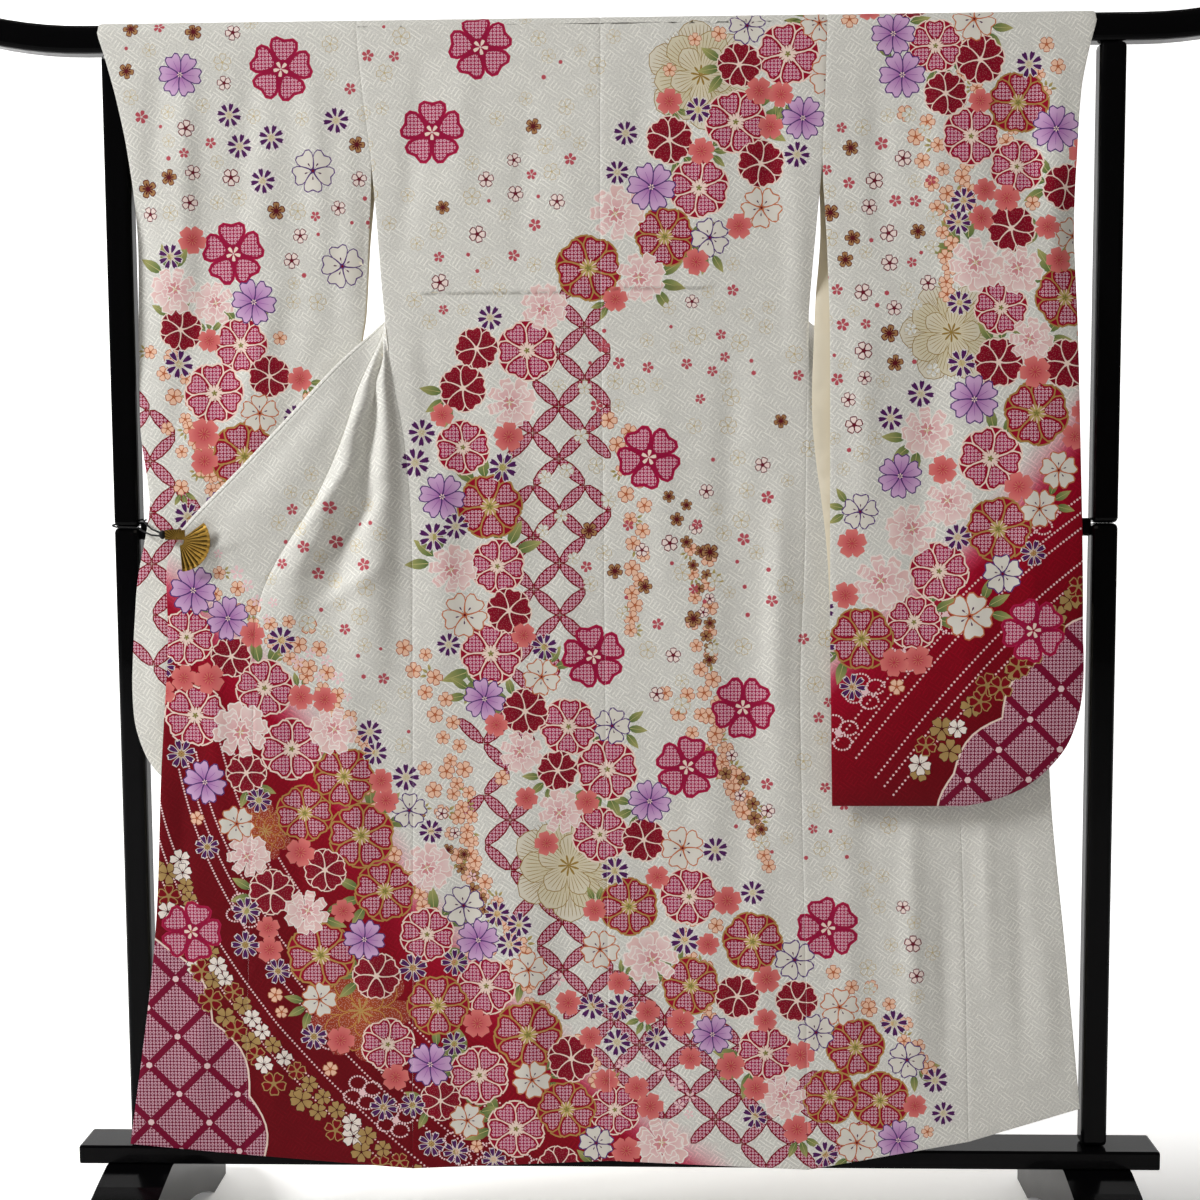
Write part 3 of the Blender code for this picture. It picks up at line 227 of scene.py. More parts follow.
LEFT_SPREAD_FOLDS = (
    Fold(0.16, 0.085, 0.0120, 1.33, 0.78, 0.00),
    Fold(0.33, 0.060, -0.0100, 1.30, 0.88, 0.00),
    Fold(0.49, 0.070, 0.0095, 1.28, 0.84, 0.00),
    Fold(0.61, 0.050, -0.0035, 1.20, 0.90, 0.00),
    Fold(0.80, 0.090, 0.0040, 1.20, 0.95, 0.00),
    Fold(0.90, 0.060, 0.0030, 0.97, 0.60, 0.00),
    Fold(0.30, 0.120, 0.0025, 0.70, 0.15, 0.00),
) + UPPER_FRONT_FOLDS
RIGHT_SPREAD_FOLDS = (
    Fold(0.30, 0.090, 0.0040, 1.25, 0.70, 0.00),
    Fold(0.55, 0.070, -0.0030, 1.15, 0.60, 0.00),
    Fold(0.80, 0.090, 0.0025, 0.62, 0.20, 0.00),
    Fold(0.42, 0.100, 0.0020, 0.62, 0.15, 0.00),
) + UPPER_FRONT_FOLDS
SLEEVE_LEFT_FOLDS = (
    Fold(0.86, 0.050, 0.0030, 1.66, 1.15, 0.00),
    Fold(0.66, 0.070, -0.0030, 1.60, 1.05, 0.05),
    Fold(0.48, 0.060, 0.0025, 1.65, 1.10, -0.08),
    Fold(0.20, 0.070, 0.0025, 1.55, 0.90, 0.00),
)
SLEEVE_RIGHT_FOLDS = (
    Fold(0.15, 0.060, 0.0025, 1.45, 0.80, 0.00),
    Fold(0.38, 0.080, -0.0025, 1.50, 0.90, 0.05),
    Fold(0.60, 0.070, 0.0025, 1.60, 1.00, -0.04),
    Fold(0.85, 0.060, 0.0020, 1.40, 0.80, 0.00),
)

# The collar down a front edge; place counts the body's rows, and turn is how far the band is
# folded over behind the front edge, in degrees. NECK is its stretch behind the neck.
CollarRow = namedtuple("CollarRow", "place width turn")
COLLAR_DOWN = (
    CollarRow(0.0, 0.055, 0.0),
    CollarRow(3.0, 0.058, 0.0),
    CollarRow(4.0, 0.050, 20.0),
    CollarRow(5.0, 0.040, 60.0),
    CollarRow(6.0, 0.044, 125.0),
    CollarRow(7.0, 0.062, 174.0),
    CollarRow(8.0, 0.068, 180.0),
    CollarRow(15.0, 0.074, 180.0),
)
NeckRow = namedtuple("NeckRow", "steps seam free")
NECK = (
    NeckRow(2, (-0.0985, 0.0205, 1.6390), (-0.0480, 0.0225, 1.600)),
    NeckRow(2, (-0.0800, 0.0200, 1.6530), (-0.0360, 0.0230, 1.599)),
    NeckRow(2, (-0.0350, 0.0200, 1.6542), (-0.0180, 0.0235, 1.598)),
    NeckRow(2, (0.0200, 0.0200, 1.6542), (0.0050, 0.0235, 1.598)),
    NeckRow(2, (0.0650, 0.0200, 1.6530), (0.0220, 0.0230, 1.599)),
    NeckRow(0, (0.0838, 0.0205, 1.6390), (0.0340, 0.0225, 1.600)),
)

CREASE_DEPTH = 2.0       # all creases are deepened by this
# Finer creases, on the board, in mm: s and t of a line's two ends, half its width, and its height.
CREASES = {
    "back_left": (
        (-245, 1640, -280, 1360, 12, -1.4),
        (-190, 1660, -205, 1420, 16, 1.1),
        (-110, 1600, -120, 1345, 14, -1),
        (-60, 1560, -50, 1380, 18, 0.9),
        (-250, 1300, -235, 1030, 11, -1.6),
        (-215, 1180, -222, 820, 16, 1.3),
        (-120, 1260, -100, 930, 18, -1.2),
        (-60, 980, -70, 560, 20, 1.2),
        (-205, 700, -190, 330, 18, -1.2),
        (-110, 520, -125, 180, 22, 1.6),
        (-235, 420, -240, 150, 16, 1.4),
    ),
    "back_right": (
        (50, 1655, 30, 1420, 16, -1),
        (130, 1660, 140, 1350, 14, 1.2),
        (215, 1640, 205, 1400, 13, -1.4),
        (245, 1520, 250, 1200, 10, 1.6),
        (60, 1240, 75, 860, 20, 1.2),
        (165, 1280, 150, 960, 16, -1.4),
        (225, 1090, 215, 760, 12, 1.8),
        (110, 840, 95, 420, 18, -1.2),
        (190, 640, 205, 260, 16, 1.5),
        (40, 500, 45, 170, 18, 1.2),
    ),
    "front_left": (
        (-300, 1230, -430, 1020, 9, 4),
        (-330, 1200, -500, 1005, 8, -3.4),
        (-320, 1130, -440, 985, 10, 3.4),
        (-300, 1080, -420, 940, 11, -3),
        (-290, 980, -400, 905, 12, 2.4),
        (-360, 860, -345, 520, 18, 1.6),
        (-430, 820, -420, 430, 16, -1.5),
        (-320, 560, -330, 190, 20, 1.8),
        (-455, 420, -470, 180, 18, 1.6),
        (-380, 1640, -390, 1420, 12, -2),
        (-450, 1650, -445, 1480, 14, 1.8),
    ),
    "overlap_left": (
        (-500, 1000, -585, 985, 7, 2.2),
        (-490, 950, -580, 965, 8, -2.2),
        (-540, 900, -530, 560, 13, 1.6),
        (-575, 800, -590, 420, 12, -1.4),
        (-560, 420, -575, 190, 16, 1.5),
    ),
    "front_right": (
        (300, 1140, 330, 900, 12, 2),
        (350, 900, 345, 560, 16, -1.8),
        (400, 720, 410, 250, 14, 2),
        (315, 640, 320, 240, 18, 1.5),
        (450, 560, 455, 260, 12, -1.6),
        (330, 1640, 335, 1440, 12, -2),
        (410, 1650, 400, 1480, 14, 1.8),
    ),
    "overlap_right": (
        (500, 700, 510, 360, 12, 1.8),
        (545, 620, 560, 280, 11, -1.6),
        (585, 480, 600, 260, 12, 1.4),
    ),
    "sleeve_left": (
        (-560, 1655, -575, 1330, 12, 2.2),
        (-600, 1640, -610, 1450, 9, -2),
        (-470, 1660, -500, 1400, 15, -1.8),
        (-400, 1650, -380, 1380, 14, 1.6),
        (-350, 1560, -345, 1240, 9, 2.2),
        (-540, 1400, -600, 1080, 13, -1.6),
        (-430, 1380, -520, 1120, 14, 1.6),
        (-380, 1280, -470, 1100, 12, -1.4),
        (-600, 940, -620, 740, 12, 1.6),
        (-480, 1780, -500, 2200, 14, 1.8),
        (-400, 1760, -390, 2050, 12, -1.6),
        (-590, 1790, -600, 2120, 10, 1.8),
        (-440, 2250, -470, 2640, 18, -1.4),
        (-560, 2180, -570, 2560, 15, 1.6),
    ),
    "sleeve_right": (
        (520, 1655, 505, 1380, 12, -1.6),
        (585, 1650, 580, 1300, 10, 2.6),
        (545, 1640, 548, 1420, 9, -2),
        (440, 1650, 425, 1400, 15, 1.6),
        (350, 1640, 360, 1340, 13, -1.5),
        (330, 1320, 335, 980, 14, 1.6),
        (420, 1250, 400, 860, 18, -1.4),
        (540, 1180, 555, 820, 15, 1.6),
        (480, 980, 470, 700, 18, 1.2),
        (370, 1780, 380, 2150, 13, 1.6),
        (470, 1770, 460, 2060, 12, -1.7),
        (560, 1790, 570, 2250, 11, 1.8),
        (400, 2230, 390, 2640, 18, -1.4),
        (520, 2280, 530, 2620, 15, 1.5),
    ),
    "collar": (),
}

# The tuck that takes up the body's spare length at the waist: height, and its two ends.
Tuck = namedtuple("Tuck", "t start end")
TUCKS = {
    "back_left": Tuck(1.3285, -0.268, -0.010),
    "back_right": Tuck(1.3330, -0.014, 0.140),
}
TUCK_LIP = 0.0028
TUCK_REACH = 0.016       # the lip fades out upwards over this
TUCK_FADE = 0.02         # and towards the tuck's ends over this
TUCK_SEAM = 0.0008       # half the height of the seam under the lip
CREASE_FADE = 0.02       # creases die out over this distance from an edge


def curve_between(before, start, end, after, t):
    """A smooth curve from start to end that keeps the direction of its neighbours."""
    a = 2 * start
    b = end - before
    c = 2 * before - 5 * start + 4 * end - after
    d = 3 * start - before - 3 * end + after
    return 0.5 * (a + b * t + c * t * t + d * t * t * t)


def smooth_rows(values, steps):
    """Fill in steps[i] rows from values[i] to the next one, on a smooth curve."""
    values = np.asarray(values, dtype=float)
    padded = np.concatenate([values[:1], values, values[-1:]])
    rows = [curve_between(*padded[i:i + 4], k / steps[i])
            for i in range(len(values) - 1) for k in range(steps[i])]
    return np.array(rows + [values[-1]])


def finer(grid):
    """The same sheet with more rows and columns, on smooth curves."""
    grid = smooth_rows(grid, [DOWN] * (len(grid) - 1))
    turned = grid.swapaxes(0, 1)
    return smooth_rows(turned, [ACROSS] * (len(turned) - 1)).swapaxes(0, 1)


def unit(vectors):
    return vectors / np.maximum(np.linalg.norm(vectors, axis=-1, keepdims=True), 1e-12)


def grid_normals(grid, facing):
    """Unit normals of a grid of points, from across times down, or the other way about."""
    down, across = np.gradient(grid, axis=(0, 1))
    return unit(np.cross(across, down)) * facing


def lengths(points, axis):
    """Distance along a grid's rows (axis 1) or columns (axis 0), from 0 at the first point."""
    steps = np.linalg.norm(np.diff(points, axis=axis), axis=-1)
    return np.insert(np.cumsum(steps, axis=axis), 0, 0.0, axis=axis)


def between(start, end, columns):
    """Points spaced evenly from start to end."""
    share = np.linspace(0.0, 1.0, columns + 1)[:, None]
    return np.asarray(start) * (1 - share) + np.asarray(end) * share


def fold_height(folds, across, z):
    """How far the folds lift the cloth at these places."""
    total = 0.0
    for fold in folds:
        part = np.clip((z - fold.bottom) / (fold.top - fold.bottom), 0.0, 1.0)
        fade = np.sin(math.pi * part) ** 0.8
        centre = fold.across + fold.lean * (fold.top - z)
        total = total + fold.height * fade * np.exp(-((across - centre) / fold.width) ** 2)
    return total


def end_fade(across):
    """1 over most of a panel and 0 at both edges."""
    return np.minimum(np.sin(math.pi * np.clip(across, 0.0, 1.0)) * 2.2, 1.0)


def over_bar(angle, xs):
    """Points of the cloth on the bar's round top; 0 is the viewer's side, pi is behind."""
    y = np.full_like(xs, -WRAP * math.cos(angle))
    z = np.full_like(xs, BAR_AXIS + WRAP * math.sin(angle))
    return np.stack([xs, y, z], axis=-1)


def body_lines(table):
    """The guide points of every row of half a body: rows, by four guides, by x, y, z."""
    values = np.array([row[1:] for row in table])
    lines = smooth_rows(values, [row.steps for row in table])
    tip = sum(row.steps for row in table[:OVERLAP_FIRST_ROW])
    lines[:tip, 2] = lines[:tip, 3]
    return lines


def row_places(table):
    """The place in the table of every smooth row."""
    return smooth_rows(np.arange(len(table), dtype=float), [row.steps for row in table])


def centre_at(z):
    """The centre seam's place where the side edge is at this height."""
    heights = [row.side_z for row in CENTRE][::-1]
    return np.array([np.interp(z, heights, [row[k] for row in CENTRE][::-1]) for k in (1, 2, 3)])


def collar_row(place):
    """Width and turn of the collar at a place in the body's table, on smooth curves."""
    values = np.array([row[1:] for row in COLLAR_DOWN])
    index = np.interp(place, [row.place for row in COLLAR_DOWN], range(len(COLLAR_DOWN)))
    i = min(int(index), len(values) - 2)
    padded = np.concatenate([values[:1], values, values[-1:]])
    return curve_between(*padded[i:i + 4], index - i)


def collar_part(edge, inner, below, place, facing):
    """The collar's row at a front edge: flat beyond it, or rolled over behind it."""
    width, turn = collar_row(place)
    down = unit(below - edge)
    out = edge - inner
    out = unit(out - down * out.dot(down))
    behind = unit(np.cross(out, down)) * -facing
    angle = math.radians(max(turn, 0.0))
    roll = COLLAR_ROLL * angle
    first = max(roll, width * 3 / COLLAR_COLUMNS * (1 - angle / math.pi))
    line = []
    for i in range(1, COLLAR_COLUMNS + 1):
        reach = first * i / 3
        if i > 3:
            reach = first + (width + roll * 0.5 - first) * (i - 3) / (COLLAR_COLUMNS - 3)
        bend = min(reach / COLLAR_ROLL, angle)
        rest = reach - bend * COLLAR_ROLL
        forward = COLLAR_ROLL * math.sin(bend) + rest * math.cos(bend)
        back = COLLAR_ROLL * (1 - math.cos(bend)) + rest * math.sin(bend)
        line.append(edge + out * forward + behind * back)
    return line


SEAM_SHARE = 0.6         # the overlap panel's seam, counted across the spread front


def spread_cloth(table, folds, facing):
    """Front, overlap panel and collar as one sheet, from the bar's crown to the hem, with s and t."""
    lines, places = body_lines(table), row_places(table)
    panels = FRONT_COLUMNS + OVERLAP_COLUMNS
    across = np.concatenate([np.linspace(0, SEAM_SHARE, FRONT_COLUMNS + 1),
                             np.linspace(SEAM_SHARE, 1, OVERLAP_COLUMNS + 1)[1:], np.ones(COLLAR_COLUMNS)])
    rows = []
    for j, (back, side, seam, edge) in enumerate(lines):
        below = lines[j + 1][3] if j + 1 < len(lines) else edge * 2 - lines[j - 1][3]
        band = collar_part(edge, side * 0.3 + seam * 0.7, below, places[j], facing)
        front, overlap = between(side, seam, FRONT_COLUMNS), between(seam, edge, OVERLAP_COLUMNS)
        rows.append(np.concatenate([front, overlap[1:], band]))
    hanging = np.array(rows)
    turns = [math.pi / 2 * (1 + k / WRAP_ROWS) for k in range(WRAP_ROWS)]
    crown = np.array([over_bar(angle, hanging[0, :, 0]) for angle in turns])
    crown[0, :, 1] += SEAM_GAP / 2
    points = np.concatenate([crown, hanging])
    heights = end_fade(across) * fold_height(folds, across, hanging[..., 2])
    heights = np.concatenate([np.zeros(crown.shape[:2]), heights])
    s = points[:, :1, 0] - facing * lengths(points, 1)
    t = points[..., 2].copy()
    t[:WRAP_ROWS] = BAR_AXIS + WRAP * (math.pi - np.array(turns))[:, None]
    t[:, panels + 1:] = t[:, panels:panels + 1]
    lifted = points + grid_normals(points, facing) * heights[..., None]
    return np.concatenate([lifted, s[..., None], t[..., None]], axis=-1)


NECK_EASE_ROWS = 4       # rows over which the neck's column eases back into the others


def back_cloth(table, folds, facing, neck):
    """Half of the back as a sheet, from the neckline behind the bar to the hem, and its neck column."""
    lines = body_lines(table)
    hanging = np.array([between(centre_at(line[0][2]), line[0], BACK_COLUMNS) for line in lines])
    xs = hanging[0, :, 0].copy()
    column = round(BACK_COLUMNS * abs(neck - xs[0]) / abs(xs[-1] - xs[0]))
    xs[column] = neck
    fade = np.minimum(np.arange(len(hanging)) / NECK_EASE_ROWS, 1.0)[:, None]
    hanging[:, :-1, 0] = (xs * (1 - fade) + hanging[..., 0] * fade)[:, :-1]
    tab = over_bar(math.pi, xs)
    tab[:, 2] -= NECK_DROP
    turns = [math.pi * (1 - k / (2 * WRAP_ROWS)) for k in range(2 * WRAP_ROWS)]
    points = np.concatenate([[tab], [over_bar(angle, xs) for angle in turns], hanging])
    across = np.linspace(0, 1, BACK_COLUMNS + 1)
    heights = end_fade(across) * fold_height(folds, across, points[..., 2])
    heights[:2 * WRAP_ROWS + 1] = 0.0
    t = points[..., 2].copy()
    t[0] = BAR_AXIS + WRAP * math.pi + NECK_DROP
    t[1:2 * WRAP_ROWS + 1] = BAR_AXIS + WRAP * np.array(turns)[:, None]
    s = points[..., 0].copy()
    lifted = points + grid_normals(points, facing) * heights[..., None]
    return np.concatenate([lifted, s[..., None], t[..., None]], axis=-1), column


def edge_at(lines, guide, z):
    """Where one of the body's side edges is at a height."""
    heights = lines[::-1, guide, 2]
    return [np.interp(z, heights, lines[::-1, guide, k]) for k in (0, 1)]


ARMHOLE_EASE = 0.05      # height over which a sleeve's depth comes to the body's at the armhole
ARMHOLE_SHARE = 0.3      # and how far across the sleeve that reaches


def sleeve_layer(rows, folds, side, lines):
    """One layer of a sleeve, from the bar down, as a grid from inner to outer edge."""
    z, near_in, far_in, outer, middle, hollow, closed = rows.T[:, :, None]
    closed = np.clip(closed, 0.0, 1.0)
    seam_x, seam_y = edge_at(lines, 0 if side < 0 else 1, z)
    inner = np.where(z >= ARMHOLE_END - 0.001, seam_x, near_in if side < 0 else far_in)
    across = np.linspace(0, 1, SLEEVE_COLUMNS + 1)[None, :]
    closing = SLEEVE_CLOSED + np.maximum(hollow - SLEEVE_CLOSED, 0.0) * np.sqrt(1.0 - across ** 4)
    gap = hollow + (closing - hollow) * closed
    y = middle + side * gap - end_fade(across) * fold_height(folds, across, z)
    tie = np.clip((z - ARMHOLE_END) / ARMHOLE_EASE + 1.0, 0.0, 1.0)
    y = y + (seam_y - (middle + side * hollow)) * tie * np.maximum(1 - across / ARMHOLE_SHARE, 0.0) ** 2
    x = inner + (outer - inner) * across
    return np.stack([x, y, np.broadcast_to(z, x.shape)], axis=-1)


def sleeve_cloth(table, folds, body_table):
    """A sleeve as one strip: up the near layer, over the bar and down the far one."""
    rows = smooth_rows([row[1:] for row in table], [row.steps for row in table])
    lines = body_lines(body_table)
    near, far = (sleeve_layer(rows, folds, side, lines) for side in (-1, 1))
    turns = [math.pi * k / (2 * WRAP_ROWS) for k in range(1, 2 * WRAP_ROWS)]
    over = np.array([over_bar(angle, near[0, :, 0]) for angle in turns])
    points = np.concatenate([near[::-1], over, far])
    t = points[..., 2].copy()
    t[len(near):len(near) + len(over)] = BAR_AXIS + WRAP * np.array(turns)[:, None]
    t[-len(far):] = 2 * BAR_AXIS + WRAP * math.pi - far[..., 2]
    return np.concatenate([points, points[..., :1], t[..., None]], axis=-1)


def collar_cloth(left, right):
    """The collar: up the left front edge, behind the neck and down the right one."""
    neck = smooth_rows([row[1:] for row in NECK], [row.steps for row in NECK])
    neck = np.array([between(seam, free, COLLAR_COLUMNS) for seam, free in neck])
    points = np.concatenate([left[::-1], neck, right])
    s = lengths(points, 1)
    t = np.repeat(lengths(points, 0)[:, :1], points.shape[1], axis=1)
    return np.concatenate([points, s[..., None], t[..., None]], axis=-1)


# A piece of cloth: its grid of x, y, z, s and t, which cells are cloth, the side it faces, and which
# edges are rounded: inner, outer, first row and last row.
Sheet = namedtuple("Sheet", "grid kept facing soft")


def sheet_of(grid, facing, soft=(1, 1, 1, 1), kept=None):
    """A finer sheet from a coarse grid, with its sewn edges drawn back by a hair."""
    grid = finer(grid)
    for end, inward in ((0, 1), (-1, -2)):
        grid[:, end, :3] += unit(grid[:, inward, :3] - grid[:, end, :3]) * SEAM_CLOSE
    if kept is None:
        kept = np.ones((grid.shape[0] - 1, grid.shape[1] - 1), dtype=bool)
    return Sheet(grid, kept, facing, soft)


def garment_sheets():
    """Every piece of the garment by name."""
    sheets, bands = {}, []
    halves = (("left", BODY_LEFT, BACK_LEFT_FOLDS, LEFT_SPREAD_FOLDS, 1, NECK_LEFT),
              ("right", BODY_RIGHT, BACK_RIGHT_FOLDS, RIGHT_SPREAD_FOLDS, -1, NECK_RIGHT))
    for side, table, back_folds, spread_folds, facing, neck in halves:
        back, column = back_cloth(table, back_folds, facing, neck)
        rows, columns = np.indices(((len(back) - 1) * DOWN, BACK_COLUMNS * ACROSS))
        kept = (rows >= (1 + WRAP_ROWS) * DOWN) | (columns < column * ACROSS)
        sheets["back_" + side] = sheet_of(back, facing, kept=kept)
        spread, panels = spread_cloth(table, spread_folds, facing), FRONT_COLUMNS + OVERLAP_COLUMNS
        first = WRAP_ROWS + sum(row.steps for row in table[:OVERLAP_FIRST_ROW])
        sheets["front_" + side] = sheet_of(spread[:, :FRONT_COLUMNS + 1], facing, (1, 1, 0, 1))
        sheets["overlap_" + side] = sheet_of(spread[first:, FRONT_COLUMNS:panels + 1], facing)
        places = row_places(table)
        worn = (places >= COLLAR_FIRST_PLACE - 1e-6) & (places <= COLLAR_LAST_PLACE + 1e-6)
        bands.append(spread[WRAP_ROWS:, panels:, :3][worn])
    sheets["collar"] = sheet_of(collar_cloth(*bands), -1)
    sheets["sleeve_left"] = sheet_of(sleeve_cloth(SLEEVE_LEFT, SLEEVE_LEFT_FOLDS, BODY_LEFT), -1)
    sheets["sleeve_right"] = sheet_of(sleeve_cloth(SLEEVE_RIGHT, SLEEVE_RIGHT_FOLDS, BODY_RIGHT), 1)
    return sheets


def with_tuck(grid, kept, t):
    """Add two rows close above and below a tuck."""
    j = int(np.sum(grid[:, 0, 4] > t)) - 1
    above, below = grid[j], grid[j + 1]
    rows = []
    for place in (t + TUCK_SEAM, t - TUCK_SEAM):
        share = (above[:, 4:] - place) / (above[:, 4:] - below[:, 4:])
        rows.append(above + (below - above) * share)
    grid = np.concatenate([grid[:j + 1], rows, grid[j + 1:]])
    return grid, np.insert(kept, [j, j], kept[j], axis=0)


def with_edge_rows(grid, kept):
    """Add rows and columns close inside the edges, where the cloth rounds off."""
    for axis in (0, 1):
        grid, kept = grid.swapaxes(0, axis), kept.swapaxes(0, axis)
        first = grid[:1] + (grid[1:2] - grid[:1]) * EDGE_SHARE
        last = grid[-1:] + (grid[-2:-1] - grid[-1:]) * EDGE_SHARE
        grid = np.concatenate([grid[:1], first, grid[1:-1], last, grid[-1:]])
        kept = np.concatenate([kept[:1], kept, kept[-1:]])
        grid, kept = grid.swapaxes(0, axis), kept.swapaxes(0, axis)
    return grid, kept


def crease_height(creases, flat):
    """How far the finer creases lift the cloth at places of the board."""
    total = np.zeros(flat.shape[:-1])
    for s0, t0, s1, t1, width, height in np.array(creases).reshape(-1, 6) / MM:
        start, run = np.array([s0, t0]), np.array([s1 - s0, t1 - t0])
        length = np.linalg.norm(run)
        along = (flat - start) @ run / length ** 2
        away = ((flat - start) @ np.array([-run[1], run[0]])) / length
        fade = np.sin(math.pi * np.clip(along, 0.0, 1.0)) ** 0.7
        total += height * CREASE_DEPTH * fade * np.exp(-(away / width) ** 2)
    return total


def tuck_height(tuck, flat):
    """The lip of cloth above a tuck's seam."""
    s, t = flat[..., 0], flat[..., 1]
    inside = np.clip((s - tuck.start) / TUCK_FADE, 0, 1) * np.clip((tuck.end - s) / TUCK_FADE, 0, 1)
    above = np.where(t > tuck.t, np.exp(-(t - tuck.t) / TUCK_REACH), 0.0)
    return TUCK_LIP * inside * above


# Both faces of a piece of cloth over its board, with their normals.
Shell = namedtuple("Shell", "flat kept outer outer_normals inner inner_normals")


def shell_of(name, sheet, thickness):
    """A sheet as cloth of some thickness, with its creases, tuck and rounded edges."""
    grid, kept = sheet.grid, sheet.kept
    if name in TUCKS:
        grid, kept = with_tuck(grid, kept, TUCKS[name].t)
    grid, kept = with_edge_rows(grid, kept)
    points, flat = grid[..., :3], grid[..., 3:]
    across, down = lengths(points, 1), lengths(points, 0)
    rooms = [across, across[:, -1:] - across, down, down[-1:] - down]
    room = np.min([room for room, soft in zip(rooms, sheet.soft) if soft], axis=0)
    share = np.clip(room / EDGE_ROUND, 0.0, 1.0)
    half = EDGE_WALL / 2 + (thickness - EDGE_WALL) / 2 * np.sqrt(1 - (1 - share) ** 2)
    relief = crease_height(CREASES[name], flat) * np.clip(room / CREASE_FADE, 0.0, 1.0)
    if name in TUCKS:
        relief += tuck_height(TUCKS[name], flat)
    normals = grid_normals(points, sheet.facing)
    outer, inner = (points + normals * (relief + reach)[..., None] for reach in (half, -half))
    outer_normals, inner_normals = grid_normals(outer, sheet.facing), -grid_normals(inner, sheet.facing)
    return Shell(flat, kept, outer, outer_normals, inner, inner_normals)


# Dyes, as sRGB hex at a flower's middle and at its rim, and the power of the change between them.
# kanoko is the white ring-dot tie-dye, gilt is gold leaf and powder, and stipple is a sprinkle of
# fine pale dots.
Paint = namedtuple("Paint", "middle rim power kanoko gilt stipple", defaults=(1.0, 0.0, 0.0, 0.0))
PAINTS = {
    "crimson": Paint("930a24", "9e0c2a"),
    "wine": Paint("7a0a30", "7a0a30"),
    "kanoko": Paint("a01446", "ad1850", 1.0, 1.0),
    "kanoko_red": Paint("8f0c34", "9c123e", 1.0, 1.0),
    "kanoko_wine": Paint("770a34", "770a34", 1.0, 1.0),
    "gold_line": Paint("c09a5c", "b98f50", 1.0, 0.0, 0.35),
    "ivory_line": Paint("f1d9cc", "f3dccf"),
    "rose_line": Paint("b8204c", "b01a46"),
    "rose": Paint("94103c", "a3123f"),
    "heart": Paint("780820", "900a26", 1.0, 0.0, 0.0, 0.10),
    "heart_back": Paint("6e081c", "7c0a20"),
    "purple_line": Paint("53306f", "5d3a7c"),
    "lavender": Paint("96489c", "dfbcdf", 0.8),
    "lavender_vein": Paint("7a3a92", "9a64ae"),
    "copper_line": Paint("c06c44", "c8774e"),
    "white": Paint("dcd6cc", "e4e0d6", 0.7),
    "stamen": Paint("56284c", "56284c"),
    "aster": Paint("5a2262", "4d1c56"),
    "aster_halo": Paint("e4dcdc", "e4dcdc"),
    "pollen": Paint("c9b26c", "d5c184", 1.0, 0.0, 0.25),
    "coral": Paint("c2384a", "e2817a", 0.8),
    "coral_heart": Paint("b02a3c", "c03a48"),
    "peony_far": Paint("d58a94", "ecccc6", 0.8),
    "peony": Paint("dc949c", "f2e0da", 0.8),
    "peony_heart": Paint("d2808a", "eec6be", 1.0),
    "peony_edge": Paint("f6ebe4", "f6ece6"),
    "peach": Paint("efbf9f", "f0cbb2"),
    "peach_line": Paint("b9633e", "c06c46"),
    "umber": Paint("a3764a", "b58a5c", 1.0, 0.0, 0.25),
    "umber_line": Paint("5c1420", "651a24"),
    "plum_white": Paint("f2ded8", "f5e6df"),
    "plum_line": Paint("6a1226", "74182c"),
    "small_coral": Paint("c05560", "bb4e5a"),
    "khaki": Paint("a98a56", "b99a62", 1.0, 0.0, 0.3),
    "khaki_line": Paint("4c0c14", "4c0c14"),
    "gilt": Paint("cfc193", "ddd6be", 0.7, 0.0, 0.08, 0.2),
    "gilt_far": Paint("d5c9a4", "e0dac8", 0.6, 0.0, 0.08, 0.2),
    "gilt_line": Paint("a08038", "a58646", 1.0, 0.0, 0.4),
    "gilt_red": Paint("b4562e", "98302a", 1.0, 0.0, 0.2, 0.45),
    "gilt_red_line": Paint("cb984e", "c08c48", 1.0, 0.0, 0.35),
    "snow": Paint("f0e6dc", "f2e8e0"),
    "leaf": Paint("4f6e3c", "b3ad6c", 1.2),
    "leaf_vein": Paint("d0c184", "c9bd86"),
    "leaf_gold": Paint("8b8440", "cdb678", 1.2, 0.0, 0.2),
    "pale_dot": Paint("eec9cc", "f0d0d2"),
    "faint_gold": Paint("cdbb8c", "c9b480", 1.0, 0.0, 0.3),
    "red_deep": Paint("820a18", "7c0916"),
}
KANOKO_PALE = "e4b8c6"
CREAM = "e6e5de"
LINING_CREAM = "e6dcc4"
# Colour of the ground at distances, in metres, into the red parts of the cloth.
BLEED = (
    (-0.030, CREAM), (-0.008, "e8bcc0"), (0.012, "cc4664"),
    (0.030, "a6082a"), (0.080, "90051d"), (0.200, "720413"),
)

PETAL_TAPER = 0.36       # how much wider a petal is near its tip than near its root
# Flowers as layers of petals in units of the flower's radius, the lowest first: how many, from and
# to which distance, how wide, in which paint, how deeply notched, turned by which share of a petal,
# and how uneven.
Layer = namedtuple("Layer", "count near far width paint notch turn ragged", defaults=(0.0, 0.0, 0.0))


def outlined(count, near, far, width, notch, turn, line, fill, thick=0.07):
    """A ring of petals with a line round each, drawn petal by petal."""
    return ((Layer(count, near, far, width, line, notch, turn),
             Layer(count, near + thick * 1.6, far - thick, width - thick * 1.7, fill, notch, turn)),)


def blossom(width, notch, line, fill, thick):
    """Five outlined petals that meet in the middle."""
    return outlined(5, 0.0, 1.0, width, notch, 0.0, line, fill, thick)


def ruffled(count, near, far, width, turn, fill, ragged):
    """A ring of uneven petals with pale edges."""
    (ring,) = outlined(count, near, far, width, 0.10, turn, "peony_edge", fill, 0.045)
    return (tuple(layer._replace(ragged=ragged) for layer in ring),)


